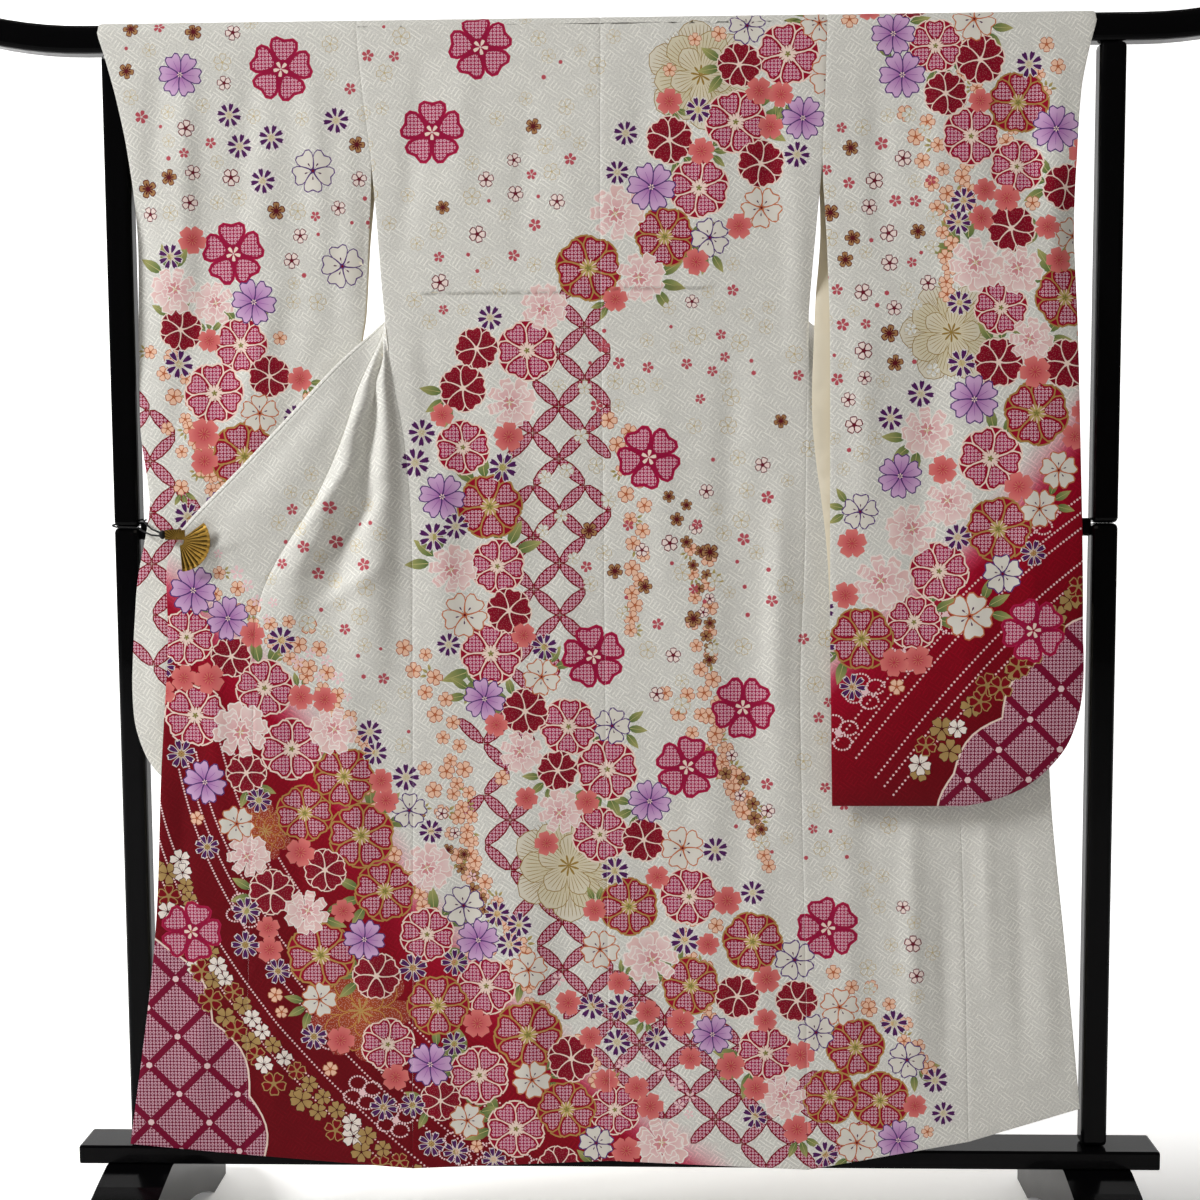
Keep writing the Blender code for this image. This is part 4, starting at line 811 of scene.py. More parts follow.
def round_kanoko(line, fill, dots, heart):
    """Six tie-dyed petals over six more, round a heart of stamens."""
    return (outlined(6, 0.46, 0.97, 0.60, 0.03, 0.5, line, fill, 0.050)
            + outlined(6, 0.04, 0.99, 0.87, 0.14, 0.0, line, fill, 0.060)
            + (Layer(6, 0.24, 0.87, 0.63, dots, 0.14),
               Layer(9, 0.02, 0.25, 0.09, heart),
               Layer(9, 0.10, 0.28, 0.05, "ivory_line", 0.0, 0.5),
               Layer(5, -0.02, 0.10, 0.07, "leaf_gold")))


def white_blossom(line):
    """Five white petals with veins and dark stamens."""
    return blossom(1.00, 0.19, line, "white", 0.06) + (
        Layer(5, 0.06, 0.44, 0.02, line, 0.0, 0.5),
        Layer(5, 0.22, 0.38, 0.08, "stamen"),
        Layer(5, 0.04, 0.22, 0.015, "stamen"),
        Layer(1, -0.06, 0.06, 0.12, "heart_back"),
    )


KINDS = {
    "round_kanoko": round_kanoko("gold_line", "crimson", "kanoko_red", "pollen"),
    "round_ivory": round_kanoko("ivory_line", "crimson", "kanoko", "ivory_line"),
    "single_kanoko": (
        Layer(5, 0.02, 1.00, 1.04, "rose_line", 0.15),
        Layer(5, 0.05, 0.965, 0.96, "rose", 0.15),
        Layer(5, 0.24, 0.89, 0.82, "kanoko", 0.14),
        Layer(5, 0.08, 0.30, 0.03, "rose"),
        Layer(5, 0.03, 0.24, 0.13, "ivory_line", 0.02, 0.5),
    ),
    "heart": outlined(6, 0.60, 0.96, 0.50, 0.03, 0.5, "ivory_line", "heart_back", 0.05)
    + outlined(6, 0.00, 1.00, 0.86, 0.16, 0.0, "ivory_line", "heart", 0.06),
    "lavender": outlined(6, 0.00, 1.00, 0.80, 0.20, 0.0, "purple_line", "lavender", 0.06) + (
        Layer(6, 0.05, 0.62, 0.02, "lavender_vein"),
        Layer(6, 0.02, 0.12, 0.06, "ivory_line"),
    ),
    "white": white_blossom("copper_line"),
    "white_violet": white_blossom("purple_line"),
    "aster": (
        Layer(8, 0.16, 1.06, 0.52, "aster_halo", 0.10),
        Layer(8, 0.26, 1.00, 0.42, "aster", 0.16),
        Layer(8, 0.02, 0.44, 0.05, "pollen", 0.0, 0.5),
        Layer(8, 0.02, 0.30, 0.06, "pollen"),
    ),
    "coral": (
        Layer(5, 0.00, 1.00, 1.00, "coral", 0.13),
        Layer(10, 0.04, 0.40, 0.03, "coral_heart", 0.0, 0.5),
        Layer(10, 0.06, 0.34, 0.02, "pollen"),
    ),
    "peony": ruffled(8, 0.34, 1.00, 0.60, 0.0, "peony_far", 0.09)
    + ruffled(7, 0.24, 0.86, 0.58, 0.5, "peony", 0.12)
    + ruffled(6, 0.14, 0.70, 0.52, 0.2, "peony", 0.14)
    + ruffled(5, 0.04, 0.53, 0.46, 0.6, "peony", 0.16)
    + ruffled(4, -0.04, 0.34, 0.36, 0.3, "peony_heart", 0.18) + (
        Layer(5, 0.00, 0.14, 0.04, "pollen"),
    ),
    "peach": blossom(0.98, 0.07, "peach_line", "peach", 0.10),
    "umber": blossom(0.90, 0.05, "umber_line", "umber", 0.10),
    "plum": blossom(0.98, 0.07, "plum_line", "plum_white", 0.12),
    "umber_bud": blossom(0.90, 0.04, "umber_line", "umber", 0.10) + (
        Layer(5, 0.00, 0.62, 0.22, "umber_line"),
    ),
    "small_coral": (Layer(5, 0.10, 1.00, 0.78, "small_coral", 0.06),),
    "dot": (Layer(1, -1.0, 1.0, 2.0, "small_coral"),),
    "khaki": blossom(0.90, 0.13, "khaki_line", "khaki", 0.06),
    "snow": blossom(0.90, 0.13, "khaki_line", "snow", 0.06) + (
        Layer(5, 0.00, 0.40, 0.03, "khaki_line"),
    ),
    "khaki_open": blossom(0.90, 0.12, "khaki", "red_deep", 0.10),
    "pink_spark": (Layer(5, 0.14, 1.00, 0.60, "pale_dot", 0.05),),
    "gilt": (
        Layer(6, 0.30, 1.00, 0.78, "gilt_line", -0.05, 0.5),
        Layer(6, 0.31, 0.985, 0.75, "gilt_far", -0.05, 0.5),
        Layer(78, 0.62, 0.95, 0.014, "gilt_line"),
        Layer(6, 0.10, 0.84, 0.72, "gilt_line", -0.05),
        Layer(6, 0.11, 0.825, 0.69, "gilt", -0.05),
        Layer(60, 0.46, 0.79, 0.014, "gilt_line"),
        Layer(5, 0.02, 0.56, 0.52, "gilt_line", -0.04, 0.3),
        Layer(5, 0.03, 0.545, 0.49, "gilt_far", -0.04, 0.3),
        Layer(36, 0.18, 0.52, 0.014, "gilt_line"),
        Layer(9, 0.00, 0.20, 0.05, "gilt_line"),
    ),
    "gilt_red": (
        Layer(9, 0.25, 1.00, 0.60, "gilt_red", -0.03, 0.5),
        Layer(8, 0.08, 0.80, 0.50, "gilt_red_line", -0.03),
        Layer(8, 0.10, 0.78, 0.45, "gilt_red", -0.03),
        Layer(6, 0.02, 0.50, 0.40, "gilt_red_line", -0.03, 0.3),
        Layer(6, 0.04, 0.48, 0.35, "gilt_red", -0.03, 0.3),
        Layer(9, 0.00, 0.26, 0.06, "gold_line"),
    ),
    "ghost": blossom(0.90, 0.10, "faint_gold", "ground", 0.06),
    "ring_dot": (Layer(1, -1.0, 1.0, 2.0, "pale_dot"),),
}

# A shape drawn on the board; inside names the area that it is cut to, and area the one it forms.
Mark = namedtuple("Mark", "shape paint centre radius inside area level")


def heading(angle):
    """A step of length 1 in a direction of the board."""
    return np.array([math.cos(angle), math.sin(angle)])


def turned(shape, angle):
    """A shape turned about the board's origin."""
    c, s = math.cos(angle), math.sin(angle)
    return shape @ np.array([[c, s], [-s, c]])


# Points round a petal that is longer than this, in metres
PETAL_POINTS = ((0.026, 14), (0.012, 10), (0.005, 8), (-1.0, 6))


def petals(layer, radius):
    """One ring of petals, as closed outlines."""
    size = radius * (layer.far - max(layer.near, 0.0))
    points = next(points for least, points in PETAL_POINTS if size > least)
    turn = np.arange(points) * 2 * math.pi / points
    swing = np.minimum(turn, 2 * math.pi - turn)
    along = (layer.near + layer.far) / 2 + (layer.far - layer.near) / 2 * np.cos(turn)
    along = along - layer.notch * np.exp(-(swing / 0.40) ** 2)
    taper = PETAL_TAPER if layer.count > 1 else 0.0
    side = layer.width / 2 * np.sin(turn) * (1 - taper * 0.7 + taper * np.cos(turn))
    rings = []
    for k in range(layer.count):
        sway = layer.ragged * math.sin(5.3 * k + 9 * layer.turn)
        angle = 2 * math.pi * (k + layer.turn) / layer.count + sway
        grow = 1 + layer.ragged * math.sin(7.1 * k + 4 * layer.turn + layer.count)
        shape = np.stack([along, side], axis=1) * radius * grow
        rings.append(turned(shape, angle))
    return rings


GROUND, GILDING, LEAVES, SPRAYS, BLOSSOMS = range(5)     # levels of the drawing, the lowest first

# Sizes on the board, in metres where nothing else is said
SHIPPO_PITCH = 0.049
SHIPPO_BULGE = 0.175     # half a lens's width, of the pitch
LATTICE_PITCH = 0.081
SWIRL_LOOP = 0.012
SINGLE_RADIUS = 0.046
SINGLE_CLEAR = 0.048     # other flowers keep clear of a single one by this radius
KNOT_RADIUS = 0.005
CROSSING_RADIUS = 0.0046
LATTICE_RIM = 0.0026     # undyed rim of a lattice field
LOZENGE_SHARE = 0.84     # of the lattice's pitch, and the rest is the red line between
DOT_LINES_APART = 0.012
TRIES = 40               # places tried for a flower before it is left out
# Least and greatest diameter of the flowers that stand alone, in mm
SINGLE_MM = {
    "plum": (20, 26), "umber_bud": (20, 26), "small_coral": (14, 19), "dot": (5, 7), "ghost": (18, 26),
    "pink_spark": (13, 22), "aster": (34, 40), "white_violet": (54, 64), "lavender": (60, 66),
    "single_kanoko": (84, 96),
}
PEACH_TRAIL = ("peach",), 23, 1.30
UMBER_TRAIL = ("umber", "plum", "umber_bud"), 19, 1.5


class Board:
    """The drawing for one set of panels, made up mark by mark; nothing on it is random but by seed."""

    def __init__(self, seed):
        self.random = np.random.default_rng(seed)
        self.marks = []
        self.taken = []

    def mark(self, shape, paint, centre=(0.0, 0.0), radius=1.0, inside=None, area=None, level=GROUND):
        centre = np.asarray(centre, dtype=float)
        self.marks.append(Mark(np.asarray(shape), paint, centre, radius, inside, area, level))

    def flower(self, kind, place, radius, inside=None, level=BLOSSOMS):
        angle = self.random.uniform(0, 2 * math.pi)
        for group in KINDS[kind]:
            layers = (group,) if isinstance(group, Layer) else group
            for rings in zip(*(petals(layer, radius) for layer in layers)):
                for layer, ring in zip(layers, rings):
                    self.mark(turned(ring, angle) + place, layer.paint, place, radius, inside, None, level)

    def keep_clear(self, place, radius):
        self.taken.append((np.array(place), radius))

    def stacked(self):
        """All marks, the lowest first."""
        return sorted(self.marks, key=lambda mark: mark.level)

    def leaf(self, root, angle, length, width, paint):
        part = np.linspace(0.0, 1.0, 6)
        bulge = width / 2 * np.sin(math.pi * part ** 0.8)
        edge = np.stack([part * length, bulge], axis=1)
        shape = np.concatenate([edge, edge[-2:0:-1] * (1, -1)])
        self.mark(turned(shape, angle) + root, paint, root, length, level=LEAVES)
        vein = np.array([(0.1, -0.03), (0.85, -0.008), (0.85, 0.008), (0.1, 0.03)]) * (length, width)
        self.mark(turned(vein, angle) + root, "leaf_vein", root, length, level=LEAVES)

    def sprig(self, place, reach, size, paint="leaf"):
        """Three leaves that look out from behind a flower."""
        angle = self.random.uniform(0, 2 * math.pi)
        for swing in (-0.75, 0.0, 0.75):
            root = place + heading(angle + swing * 0.5) * reach
            self.leaf(root, angle + swing, size, size * 0.42, paint)

    def singles(self, *places):
        """Large single blossoms at given places, which the others keep clear of."""
        for place in places:
            self.flower("single_kanoko", np.array(place), SINGLE_RADIUS)
            self.keep_clear(place, SINGLE_CLEAR)

    def gild(self, kind, place, radius, clear):
        """A large gilded peony that the flowers may cover apart from its heart."""
        self.flower(kind, np.array(place), radius, level=GILDING)
        self.keep_clear(place, clear)

    def small_blossoms(self, places, kinds, low, high, jitter):
        """Small blossoms of mixed kinds along a line, moved about by no more than the jitter."""
        for place in places:
            kind = kinds[int(self.random.integers(len(kinds)))]
            if jitter:
                place = np.array(place) + self.random.uniform(-jitter, jitter, 2)
            self.flower(kind, place, self.random.uniform(low, high), level=SPRAYS)

    def free(self, place, radius, crowd):
        for other, size in self.taken:
            if np.hypot(*(place - other)) < (radius + size) * crowd:
                return False
        return True

    def scatter(self, way, kind, count, low, high, crowd=0.8, spread=1.0, leaves=0.0):
        """Strew flowers of one kind along a way, where they fit; sizes are diameters in mm."""
        way = np.array(way)
        steps = np.linalg.norm(np.diff(way[:, :2], axis=0), axis=1)
        run = np.insert(np.cumsum(steps), 0, 0.0)
        for _ in range(count):
            for _ in range(TRIES):
                part = self.random.uniform(0, run[-1])
                s, t, half = (np.interp(part, run, way[:, k]) for k in range(3))
                radius = self.random.uniform(low, high) / 2 / MM
                angle, reach = self.random.uniform(0, 2 * math.pi), math.sqrt(self.random.uniform(0, 1))
                place = np.array([s, t]) + half * spread * reach * heading(angle)
                if self.free(place, radius, crowd):
                    if self.random.uniform() < leaves:
                        self.sprig(place, radius * 0.8, radius * self.random.uniform(0.55, 0.8) + 0.008)
                    self.flower(kind, place, radius)
                    self.keep_clear(place, radius)
                    break

    def sow(self, way, *rows):
        """Scatter single flowers along a way: kind, count, how near to others, and spread across it."""
        for kind, count, crowd, spread in rows:
            self.scatter(way, kind, count, *SINGLE_MM[kind], crowd, spread)

    def trail(self, kinds, size, gap, start, end, bow):
        """A hanging spray of small blossoms, with a few leaf tips; size is a diameter in mm."""
        start, end = np.array(start), np.array(end)
        run = end - start
        count = max(int(np.hypot(*run) / (size / 2 / MM * gap)), 2)
        side = np.array([-run[1], run[0]])
        across = side / np.hypot(*side) * size / 2 / MM
        for k in range(count):
            part = k / (count - 1)
            wide = 1.25 * (1 - part ** 2)
            place = start + run * part + side * bow * math.sin(math.pi * part)
            place = place + across * wide * self.random.uniform(0.6, 1.0) * (1 if k % 2 else -1)
            kind = kinds[int(self.random.integers(len(kinds)))]
            radius = size / 2 / MM * self.random.uniform(0.85, 1.1)
            if self.random.uniform() < 0.2:
                self.sprig(place, radius * 0.9, radius * 0.8, "leaf_gold")
            self.flower(kind, place, radius, level=SPRAYS)

    def dotted(self, points, size):
        """Undyed dots; size is their radius in mm."""
        for place in points:
            self.flower("ring_dot", np.asarray(place), size / MM, level=GROUND)

    def dotted_band(self, lines, wider, size, line):
        """Lines of dots in groups of three; line gives the places of the one at a distance."""
        for k in range(lines):
            self.dotted(line(DOT_LINES_APART * k + wider * (k // 3)), size)

    def swirls(self, *places):
        """Loops of small dots round pale knots, like tied cords."""
        for place in places:
            self.flower("ring_dot", np.array(place), KNOT_RADIUS, level=GROUND)
            for k in range(4):
                hub = np.array(place) + 1.25 * SWIRL_LOOP * heading(2 * math.pi * k / 4 + 0.4)
                loop = [hub + SWIRL_LOOP * heading(a) * (1.0, 0.8) for a in np.linspace(0, 5.6, 18)]
                self.dotted(loop, 1.5)

    def shippo(self, way):
        """Interlocking circles: tie-dyed lenses between the knots of a slanting square grid."""
        half, bulge = SHIPPO_PITCH / 2, SHIPPO_BULGE * SHIPPO_PITCH
        part = np.linspace(0, math.pi, 6)
        lens = np.concatenate([np.stack([-half * np.cos(part), bulge * np.sin(part)], 1),
                               np.stack([half * np.cos(part), -bulge * np.sin(part)], 1)[1:-1]])
        leg = SHIPPO_PITCH / math.sqrt(2)
        for i in range(-40, 60):
            for j in range(-10, 70):
                if (i + j) % 2:
                    continue
                knot = np.array([i * leg, j * leg])
                for angle in (math.pi / 4, -math.pi / 4):
                    middle = knot + half * heading(angle)
                    if near_way(way, middle[None])[0] < self.random.uniform(-0.006, 0.010):
                        self.mark(turned(lens * (0.985, 1.0), angle) + middle, "red_deep", middle, half)
                        self.mark(turned(lens * (0.90, 0.78), angle) + middle, "kanoko_red", middle, half)

    def lattice(self, outline, name):
        """A cut-out field of tie-dyed lozenges with a pale dot on every crossing."""
        middle = outline.mean(axis=0)
        self.mark(outline, "ivory_line", middle, 1.0)
        self.mark(shrunk(outline, LATTICE_RIM), "wine", middle, 1.0, area=name)
        low, high = outline.min(axis=0), outline.max(axis=0)
        pitch = LATTICE_PITCH
        lozenge = np.array([(1, 0), (0, 1), (-1, 0), (0, -1)]) * pitch * 0.5 * LOZENGE_SHARE
        rows = int((high[1] - low[1]) / (pitch / 2)) + 2
        columns = int((high[0] - low[0]) / pitch) + 2
        for j in range(rows):
            for i in range(columns):
                spot = low + np.array([(i + 0.5 * (j % 2)) * pitch, j * pitch / 2])
                self.mark(lozenge + spot, "kanoko_wine", spot, pitch, inside=name)
                self.flower("ring_dot", spot + (pitch / 2, 0.0), CROSSING_RADIUS, name, GROUND)


def signed_area(outline):
    """Twice an outline's area, above 0 where it runs counter-clockwise."""
    after = np.roll(outline, -1, axis=0)
    return np.sum(outline[:, 0] * after[:, 1] - outline[:, 1] * after[:, 0])


def shrunk(outline, by):
    """An outline drawn in by a distance, corner by corner."""
    before, after = np.roll(outline, 1, axis=0), np.roll(outline, -1, axis=0)
    run = unit(after - before)
    inward = np.stack([-run[:, 1], run[:, 0]], axis=1)
    return outline + inward * by * (1 if signed_area(outline) > 0 else -1)


def scalloped(corners, deep):
    """A line of bulging arcs through corners, closed by the last two of them with straight lines."""
    points = []
    arcs = corners[:-2]
    for start, end in zip(arcs, arcs[1:]):
        run = np.subtract(end, start)
        side = np.array([run[1], -run[0]])
        for part in np.linspace(0, 1, 8)[:-1]:
            points.append(start + run * part + side * deep * math.sin(math.pi * part))
    points += [np.array(arcs[-1]), np.array(corners[-2]), np.array(corners[-1])]
    return np.array(points)


def near_way(way, spots):
    """Distance from places to a way's middle line, less its half width there."""
    best = np.full(len(spots), np.inf)
    way = np.array(way)
    for start, end in zip(way, way[1:]):
        run = (end - start)[:2]
        part = np.clip((spots - start[:2]) @ run / (run @ run), 0, 1)
        nearest = start[:2] + part[:, None] * run
        half = start[2] + (end[2] - start[2]) * part
        best = np.minimum(best, np.linalg.norm(spots - nearest, axis=1) - half)
    return best


def depth_in(line, spots):
    """Signed distance to a line of places, positive on the right hand of its direction."""
    line = np.array(line)
    best, sign = np.full(len(spots), np.inf), np.ones(len(spots))
    for start, end in zip(line, line[1:]):
        run = end - start
        part = np.clip((spots - start) @ run / (run @ run), 0, 1)
        away = spots - (start + part[:, None] * run)
        distance = np.linalg.norm(away, axis=1)
        closer = distance < best
        best = np.where(closer, distance, best)
        side = (spots - start)[:, 1] * run[0] - (spots - start)[:, 0] * run[1]
        sign = np.where(closer, np.where(side > 0, -1.0, 1.0), sign)
    return best * sign


# Ways on the board that the flowers follow: s, t and half width in metres.
SHOULDER_WAY = ((0.245, 1.700, 0.06), (0.215, 1.620, 0.08), (0.130, 1.500, 0.09), (0.050, 1.410, 0.07),
                (-0.020, 1.340, 0.04))
WAIST_WAY = ((-0.090, 1.310, 0.03), (-0.165, 1.215, 0.05), (-0.200, 1.100, 0.05), (-0.175, 0.965, 0.05),
             (-0.148, 0.840, 0.05), (-0.060, 0.700, 0.07), (0.010, 0.575, 0.08), (0.085, 0.465, 0.10),
             (0.180, 0.370, 0.10), (0.290, 0.280, 0.09), (0.370, 0.220, 0.07))
HEM_WAY = ((-0.570, 0.930, 0.02), (-0.545, 0.870, 0.05), (-0.510, 0.780, 0.09), (-0.440, 0.680, 0.11),
           (-0.380, 0.570, 0.12), (-0.330, 0.460, 0.13), (-0.250, 0.370, 0.13), (-0.160, 0.290, 0.12),
           (-0.070, 0.220, 0.09), (0.020, 0.165, 0.06))
CIRCLE_WAY = ((-0.015, 1.340, 0.02), (-0.045, 1.250, 0.050), (-0.070, 1.120, 0.055), (-0.070, 0.960, 0.050),
              (-0.105, 0.840, 0.040), (-0.160, 0.740, 0.035), (-0.145, 0.610, 0.035), (-0.085, 0.500, 0.040),
              (-0.045, 0.420, 0.045), (0.060, 0.310, 0.075), (0.160, 0.235, 0.075), (0.300, 0.165, 0.050))
SLEEVE_CIRCLE_WAY = ((-0.640, 1.200, 0.015), (-0.620, 1.100, 0.035), (-0.600, 1.000, 0.045),
                     (-0.590, 0.850, 0.045))
SLEEVE_LEFT_WAY = ((-0.560, 1.400, 0.03), (-0.540, 1.310, 0.06), (-0.490, 1.220, 0.08), (-0.480, 1.130, 0.07),
                   (-0.520, 1.070, 0.05))
SLEEVE_RIGHT_WAY = ((0.400, 1.690, 0.07), (0.430, 1.630, 0.06), (0.560, 1.500, 0.06), (0.530, 1.380, 0.07),
                    (0.560, 1.240, 0.08), (0.470, 1.090, 0.10), (0.420, 0.970, 0.10), (0.340, 0.870, 0.06))
# Edges of the red ground, with the red on the right hand of each line's direction.
HEM_RED = ((-0.640, 0.985), (-0.583, 0.944), (-0.497, 0.856), (-0.404, 0.748), (-0.337, 0.640),
           (-0.258, 0.505), (-0.178, 0.411), (-0.058, 0.289), (0.048, 0.195), (0.127, 0.141), (0.180, 0.080))
SLEEVE_RED = ((0.250, 0.800), (0.300, 0.840), (0.393, 0.923), (0.526, 1.045), (0.629, 1.180), (0.680, 1.205))
FAR_TURN = 2 * BAR_AXIS + WRAP * math.pi     # t of the far layer is this less z


def far_side(way):
    """The same way on a sleeve's far layer."""
    return tuple((row[0], FAR_TURN - row[1]) + tuple(row[2:]) for row in way)


# The mix of flowers along a band: kind, how many per 0.1 square metre, least and greatest diameter
# in mm, how near to others, spread across the band, and share of them with leaves.
Strew = namedtuple("Strew", "kind count low high crowd spread leaves")
MIX = (
    Strew("round_ivory", 4, 76, 92, 0.80, 0.70, 0.35),
    Strew("round_kanoko", 3, 84, 102, 0.80, 0.70, 0.35),
    Strew("heart", 4, 60, 72, 0.78, 0.90, 0.50),
    Strew("peony", 4, 62, 82, 0.74, 0.90, 0.40),
    Strew("lavender", 4, 62, 76, 0.76, 0.95, 0.50),
    Strew("white", 5, 54, 70, 0.78, 1.10, 0.50),
    Strew("white_violet", 3, 52, 64, 0.78, 1.15, 0.50),
    Strew("coral", 12, 34, 48, 0.74, 1.10, 0.20),
    Strew("aster", 17, 34, 42, 0.80, 1.30, 0.00),
    Strew("peach", 8, 19, 25, 0.95, 1.30, 0.10),
)


def strew_main(board, way, rich=1.0):
    """The full mix of flowers along a band."""
    rows = np.array(way)
    run = np.linalg.norm(np.diff(rows[:, :2], axis=0), axis=1)
    area = np.sum(run * (rows[1:, 2] + rows[:-1, 2]))
    for row in MIX:
        count = max(int(round(row.count * rich * area / 0.1)), 1)
        board.scatter(way, row.kind, count, *row[2:])


STRIP_KINDS = ("khaki", "khaki", "snow", "khaki_open")
SECOND_STRIP_KINDS = ("khaki", "khaki_open", "khaki", "snow")


def hem_dots(gap):
    """A dotted line down the red ground, stepped aside by a gap."""
    return [(-0.640 + gap + 0.10 * u + 0.30 * u * u, 0.640 - 0.56 * u + gap) for u in np.linspace(0, 1, 150)]


def sleeve_dots(gap):
    """A dotted line up the sleeve's red corner, stepped aside by a gap."""
    start, run = np.array([0.300 + gap, 0.735 - gap]), np.array([0.330, 0.330])
    return [start + run * u + (0.0, 0.03 * math.sin(math.pi * u)) for u in np.linspace(0, 1, 88)]


def body_board():
    """The drawing that runs across back, fronts and overlap panels."""
    board = Board(11)
    board.lattice(LATTICE_HEM, "hem_field")
    board.shippo(CIRCLE_WAY)
    board.dotted_band(8, 0.018, 1.5, hem_dots)
    strip = [(-0.610 + 0.06 * u + 0.28 * u * u, 0.560 - 0.46 * u) for u in np.linspace(0, 1, 26)]
    board.small_blossoms(strip, STRIP_KINDS, 0.014, 0.019, 0.010)
    board.swirls((-0.395, 0.330), (-0.345, 0.245), (-0.300, 0.205), (-0.215, 0.165), (-0.165, 0.150),
                 (-0.500, 0.500), (-0.120, 0.135))
    board.singles((-0.575, 0.470), (-0.235, 1.540), (-0.170, 1.650), (0.050, 1.110), (-0.025, 0.845),
                  (0.175, 0.775), (0.100, 0.695), (0.290, 0.475))
    board.gild("gilt_red", (-0.345, 0.360), 0.070, 0.0315)
    board.gild("gilt_red", (-0.470, 0.610), 0.040, 0.0180)
    board.gild("gilt", (-0.060, 0.560), 0.075, 0.03375)
    board.gild("gilt", (0.120, 1.610), 0.070, 0.0315)
    strew_main(board, HEM_WAY, 1.25)
    strew_main(board, WAIST_WAY, 1.25)
    strew_main(board, SHOULDER_WAY, 1.15)
    fringe = tuple((s + 0.020, t + 0.020, 0.05) for s, t in HEM_RED[1:-2])
    board.sow(fringe, ("pink_spark", 60, 1.1, 1.0), ("aster", 10, 0.9, 1.0))
    scatter_open(board)
    board.small_blossoms(np.array(strip) + (0.022, 0.010), SECOND_STRIP_KINDS, 0.013, 0.017, 0.0)
    return board


def scatter_open(board):
    """Single flowers and small sprays over the plain ground."""
    for row in (((0.010, 1.160), (0.025, 0.880), 0.06), ((0.120, 0.990), (0.170, 0.640), -0.05),
                ((0.080, 0.800), (0.210, 0.560), 0.05), ((-0.270, 0.860), (-0.190, 0.560), 0.06),
                ((-0.550, 0.960), (-0.410, 0.820), 0.05), ((-0.420, 0.900), (-0.330, 0.720), -0.04),
                ((-0.240, 0.700), (-0.120, 0.440), -0.05), ((0.330, 0.400), (0.430, 0.280), 0.04),
                ((-0.345, 0.680), (-0.235, 0.480), -0.06), ((-0.190, 0.450), (-0.080, 0.330), 0.05),
                ((-0.070, 0.320), (0.040, 0.225), -0.05), ((0.090, 0.500), (0.130, 0.350), 0.04)):
        board.trail(*PEACH_TRAIL, *row)
    for row in (((0.085, 1.060), (0.130, 0.840), 0.05), ((0.140, 0.720), (0.200, 0.610), 0.03),
                ((-0.250, 0.640), (-0.175, 0.500), 0.04)):
        board.trail(*UMBER_TRAIL, *row)
    field = ((-0.230, 1.640, 0.09), (-0.120, 1.520, 0.09), (-0.160, 1.370, 0.06), (0.110, 1.200, 0.09),
             (0.060, 0.960, 0.08), (0.130, 0.760, 0.09), (0.220, 0.560, 0.08))
    gather = ((-0.370, 1.050, 0.06), (-0.400, 0.900, 0.07), (-0.300, 0.720, 0.05))
    wing = ((0.300, 0.560, 0.05), (0.400, 0.420, 0.05))
    board.sow(field, ("plum", 14, 1.5, 1.4), ("umber_bud", 9, 1.5, 1.4), ("small_coral", 34, 1.6, 1.8),
              ("dot", 26, 1.6, 2.0), ("ghost", 120, 1.15, 2.2))
    board.sow(gather, ("small_coral", 9, 2.2, 1.0), ("dot", 8, 2.0, 1.0))
    board.sow(wing, ("plum", 3, 1.6, 1.0), ("ghost", 14, 1.2, 1.2))
    board.sow(gather, ("ghost", 24, 1.2, 1.2))


LATTICE_HEM = scalloped([(-0.700, 0.470), (-0.607, 0.447), (-0.548, 0.345), (-0.500, 0.240), (-0.486, 0.140),
                         (-0.486, 0.080), (-0.720, 0.080)], -0.16)
LATTICE_SLEEVE = scalloped([(0.440, 0.600), (0.452, 0.690), (0.515, 0.765), (0.560, 0.840), (0.660, 0.905),
                            (0.700, 0.905), (0.700, 0.600)], -0.16)


def finish_sleeve(board, way, field, far_rich):
    """Single flowers on a sleeve's near layer, and a plainer strewing on its far one."""
    board.sow(field, ("plum", 12, 1.3, 1.2), ("umber_bud", 7, 1.3, 1.2), ("small_coral", 14, 1.5, 1.3),
              ("dot", 8, 1.5, 1.3), ("ghost", 40, 1.15, 1.4))
    strew_main(board, far_side(way), far_rich)
    board.sow(far_side(field), ("single_kanoko", 4, 1.3, 1.2), ("plum", 12, 1.3, 1.2),
              ("small_coral", 14, 1.5, 1.3))
    return board


def sleeve_left_board():
    """The left sleeve's drawing: circles and blossoms on the cream ground."""
    board = Board(23)
    board.shippo(SLEEVE_CIRCLE_WAY)
    board.singles((-0.435, 1.625), (-0.505, 1.385))
    strew_main(board, SLEEVE_LEFT_WAY)
    board.trail(*PEACH_TRAIL, (-0.610, 1.260), (-0.540, 1.070), 0.05)
    board.trail(*PEACH_TRAIL, (-0.590, 1.160), (-0.510, 1.060), -0.04)
    field = ((-0.590, 1.640, 0.06), (-0.450, 1.570, 0.10), (-0.400, 1.400, 0.07), (-0.560, 1.450, 0.06))
    board.sow(field, ("white_violet", 2, 1.2, 1.0), ("lavender", 1, 1.2, 1.0), ("aster", 5, 1.2, 1.0))
    return finish_sleeve(board, SLEEVE_LEFT_WAY, field, 0.65)


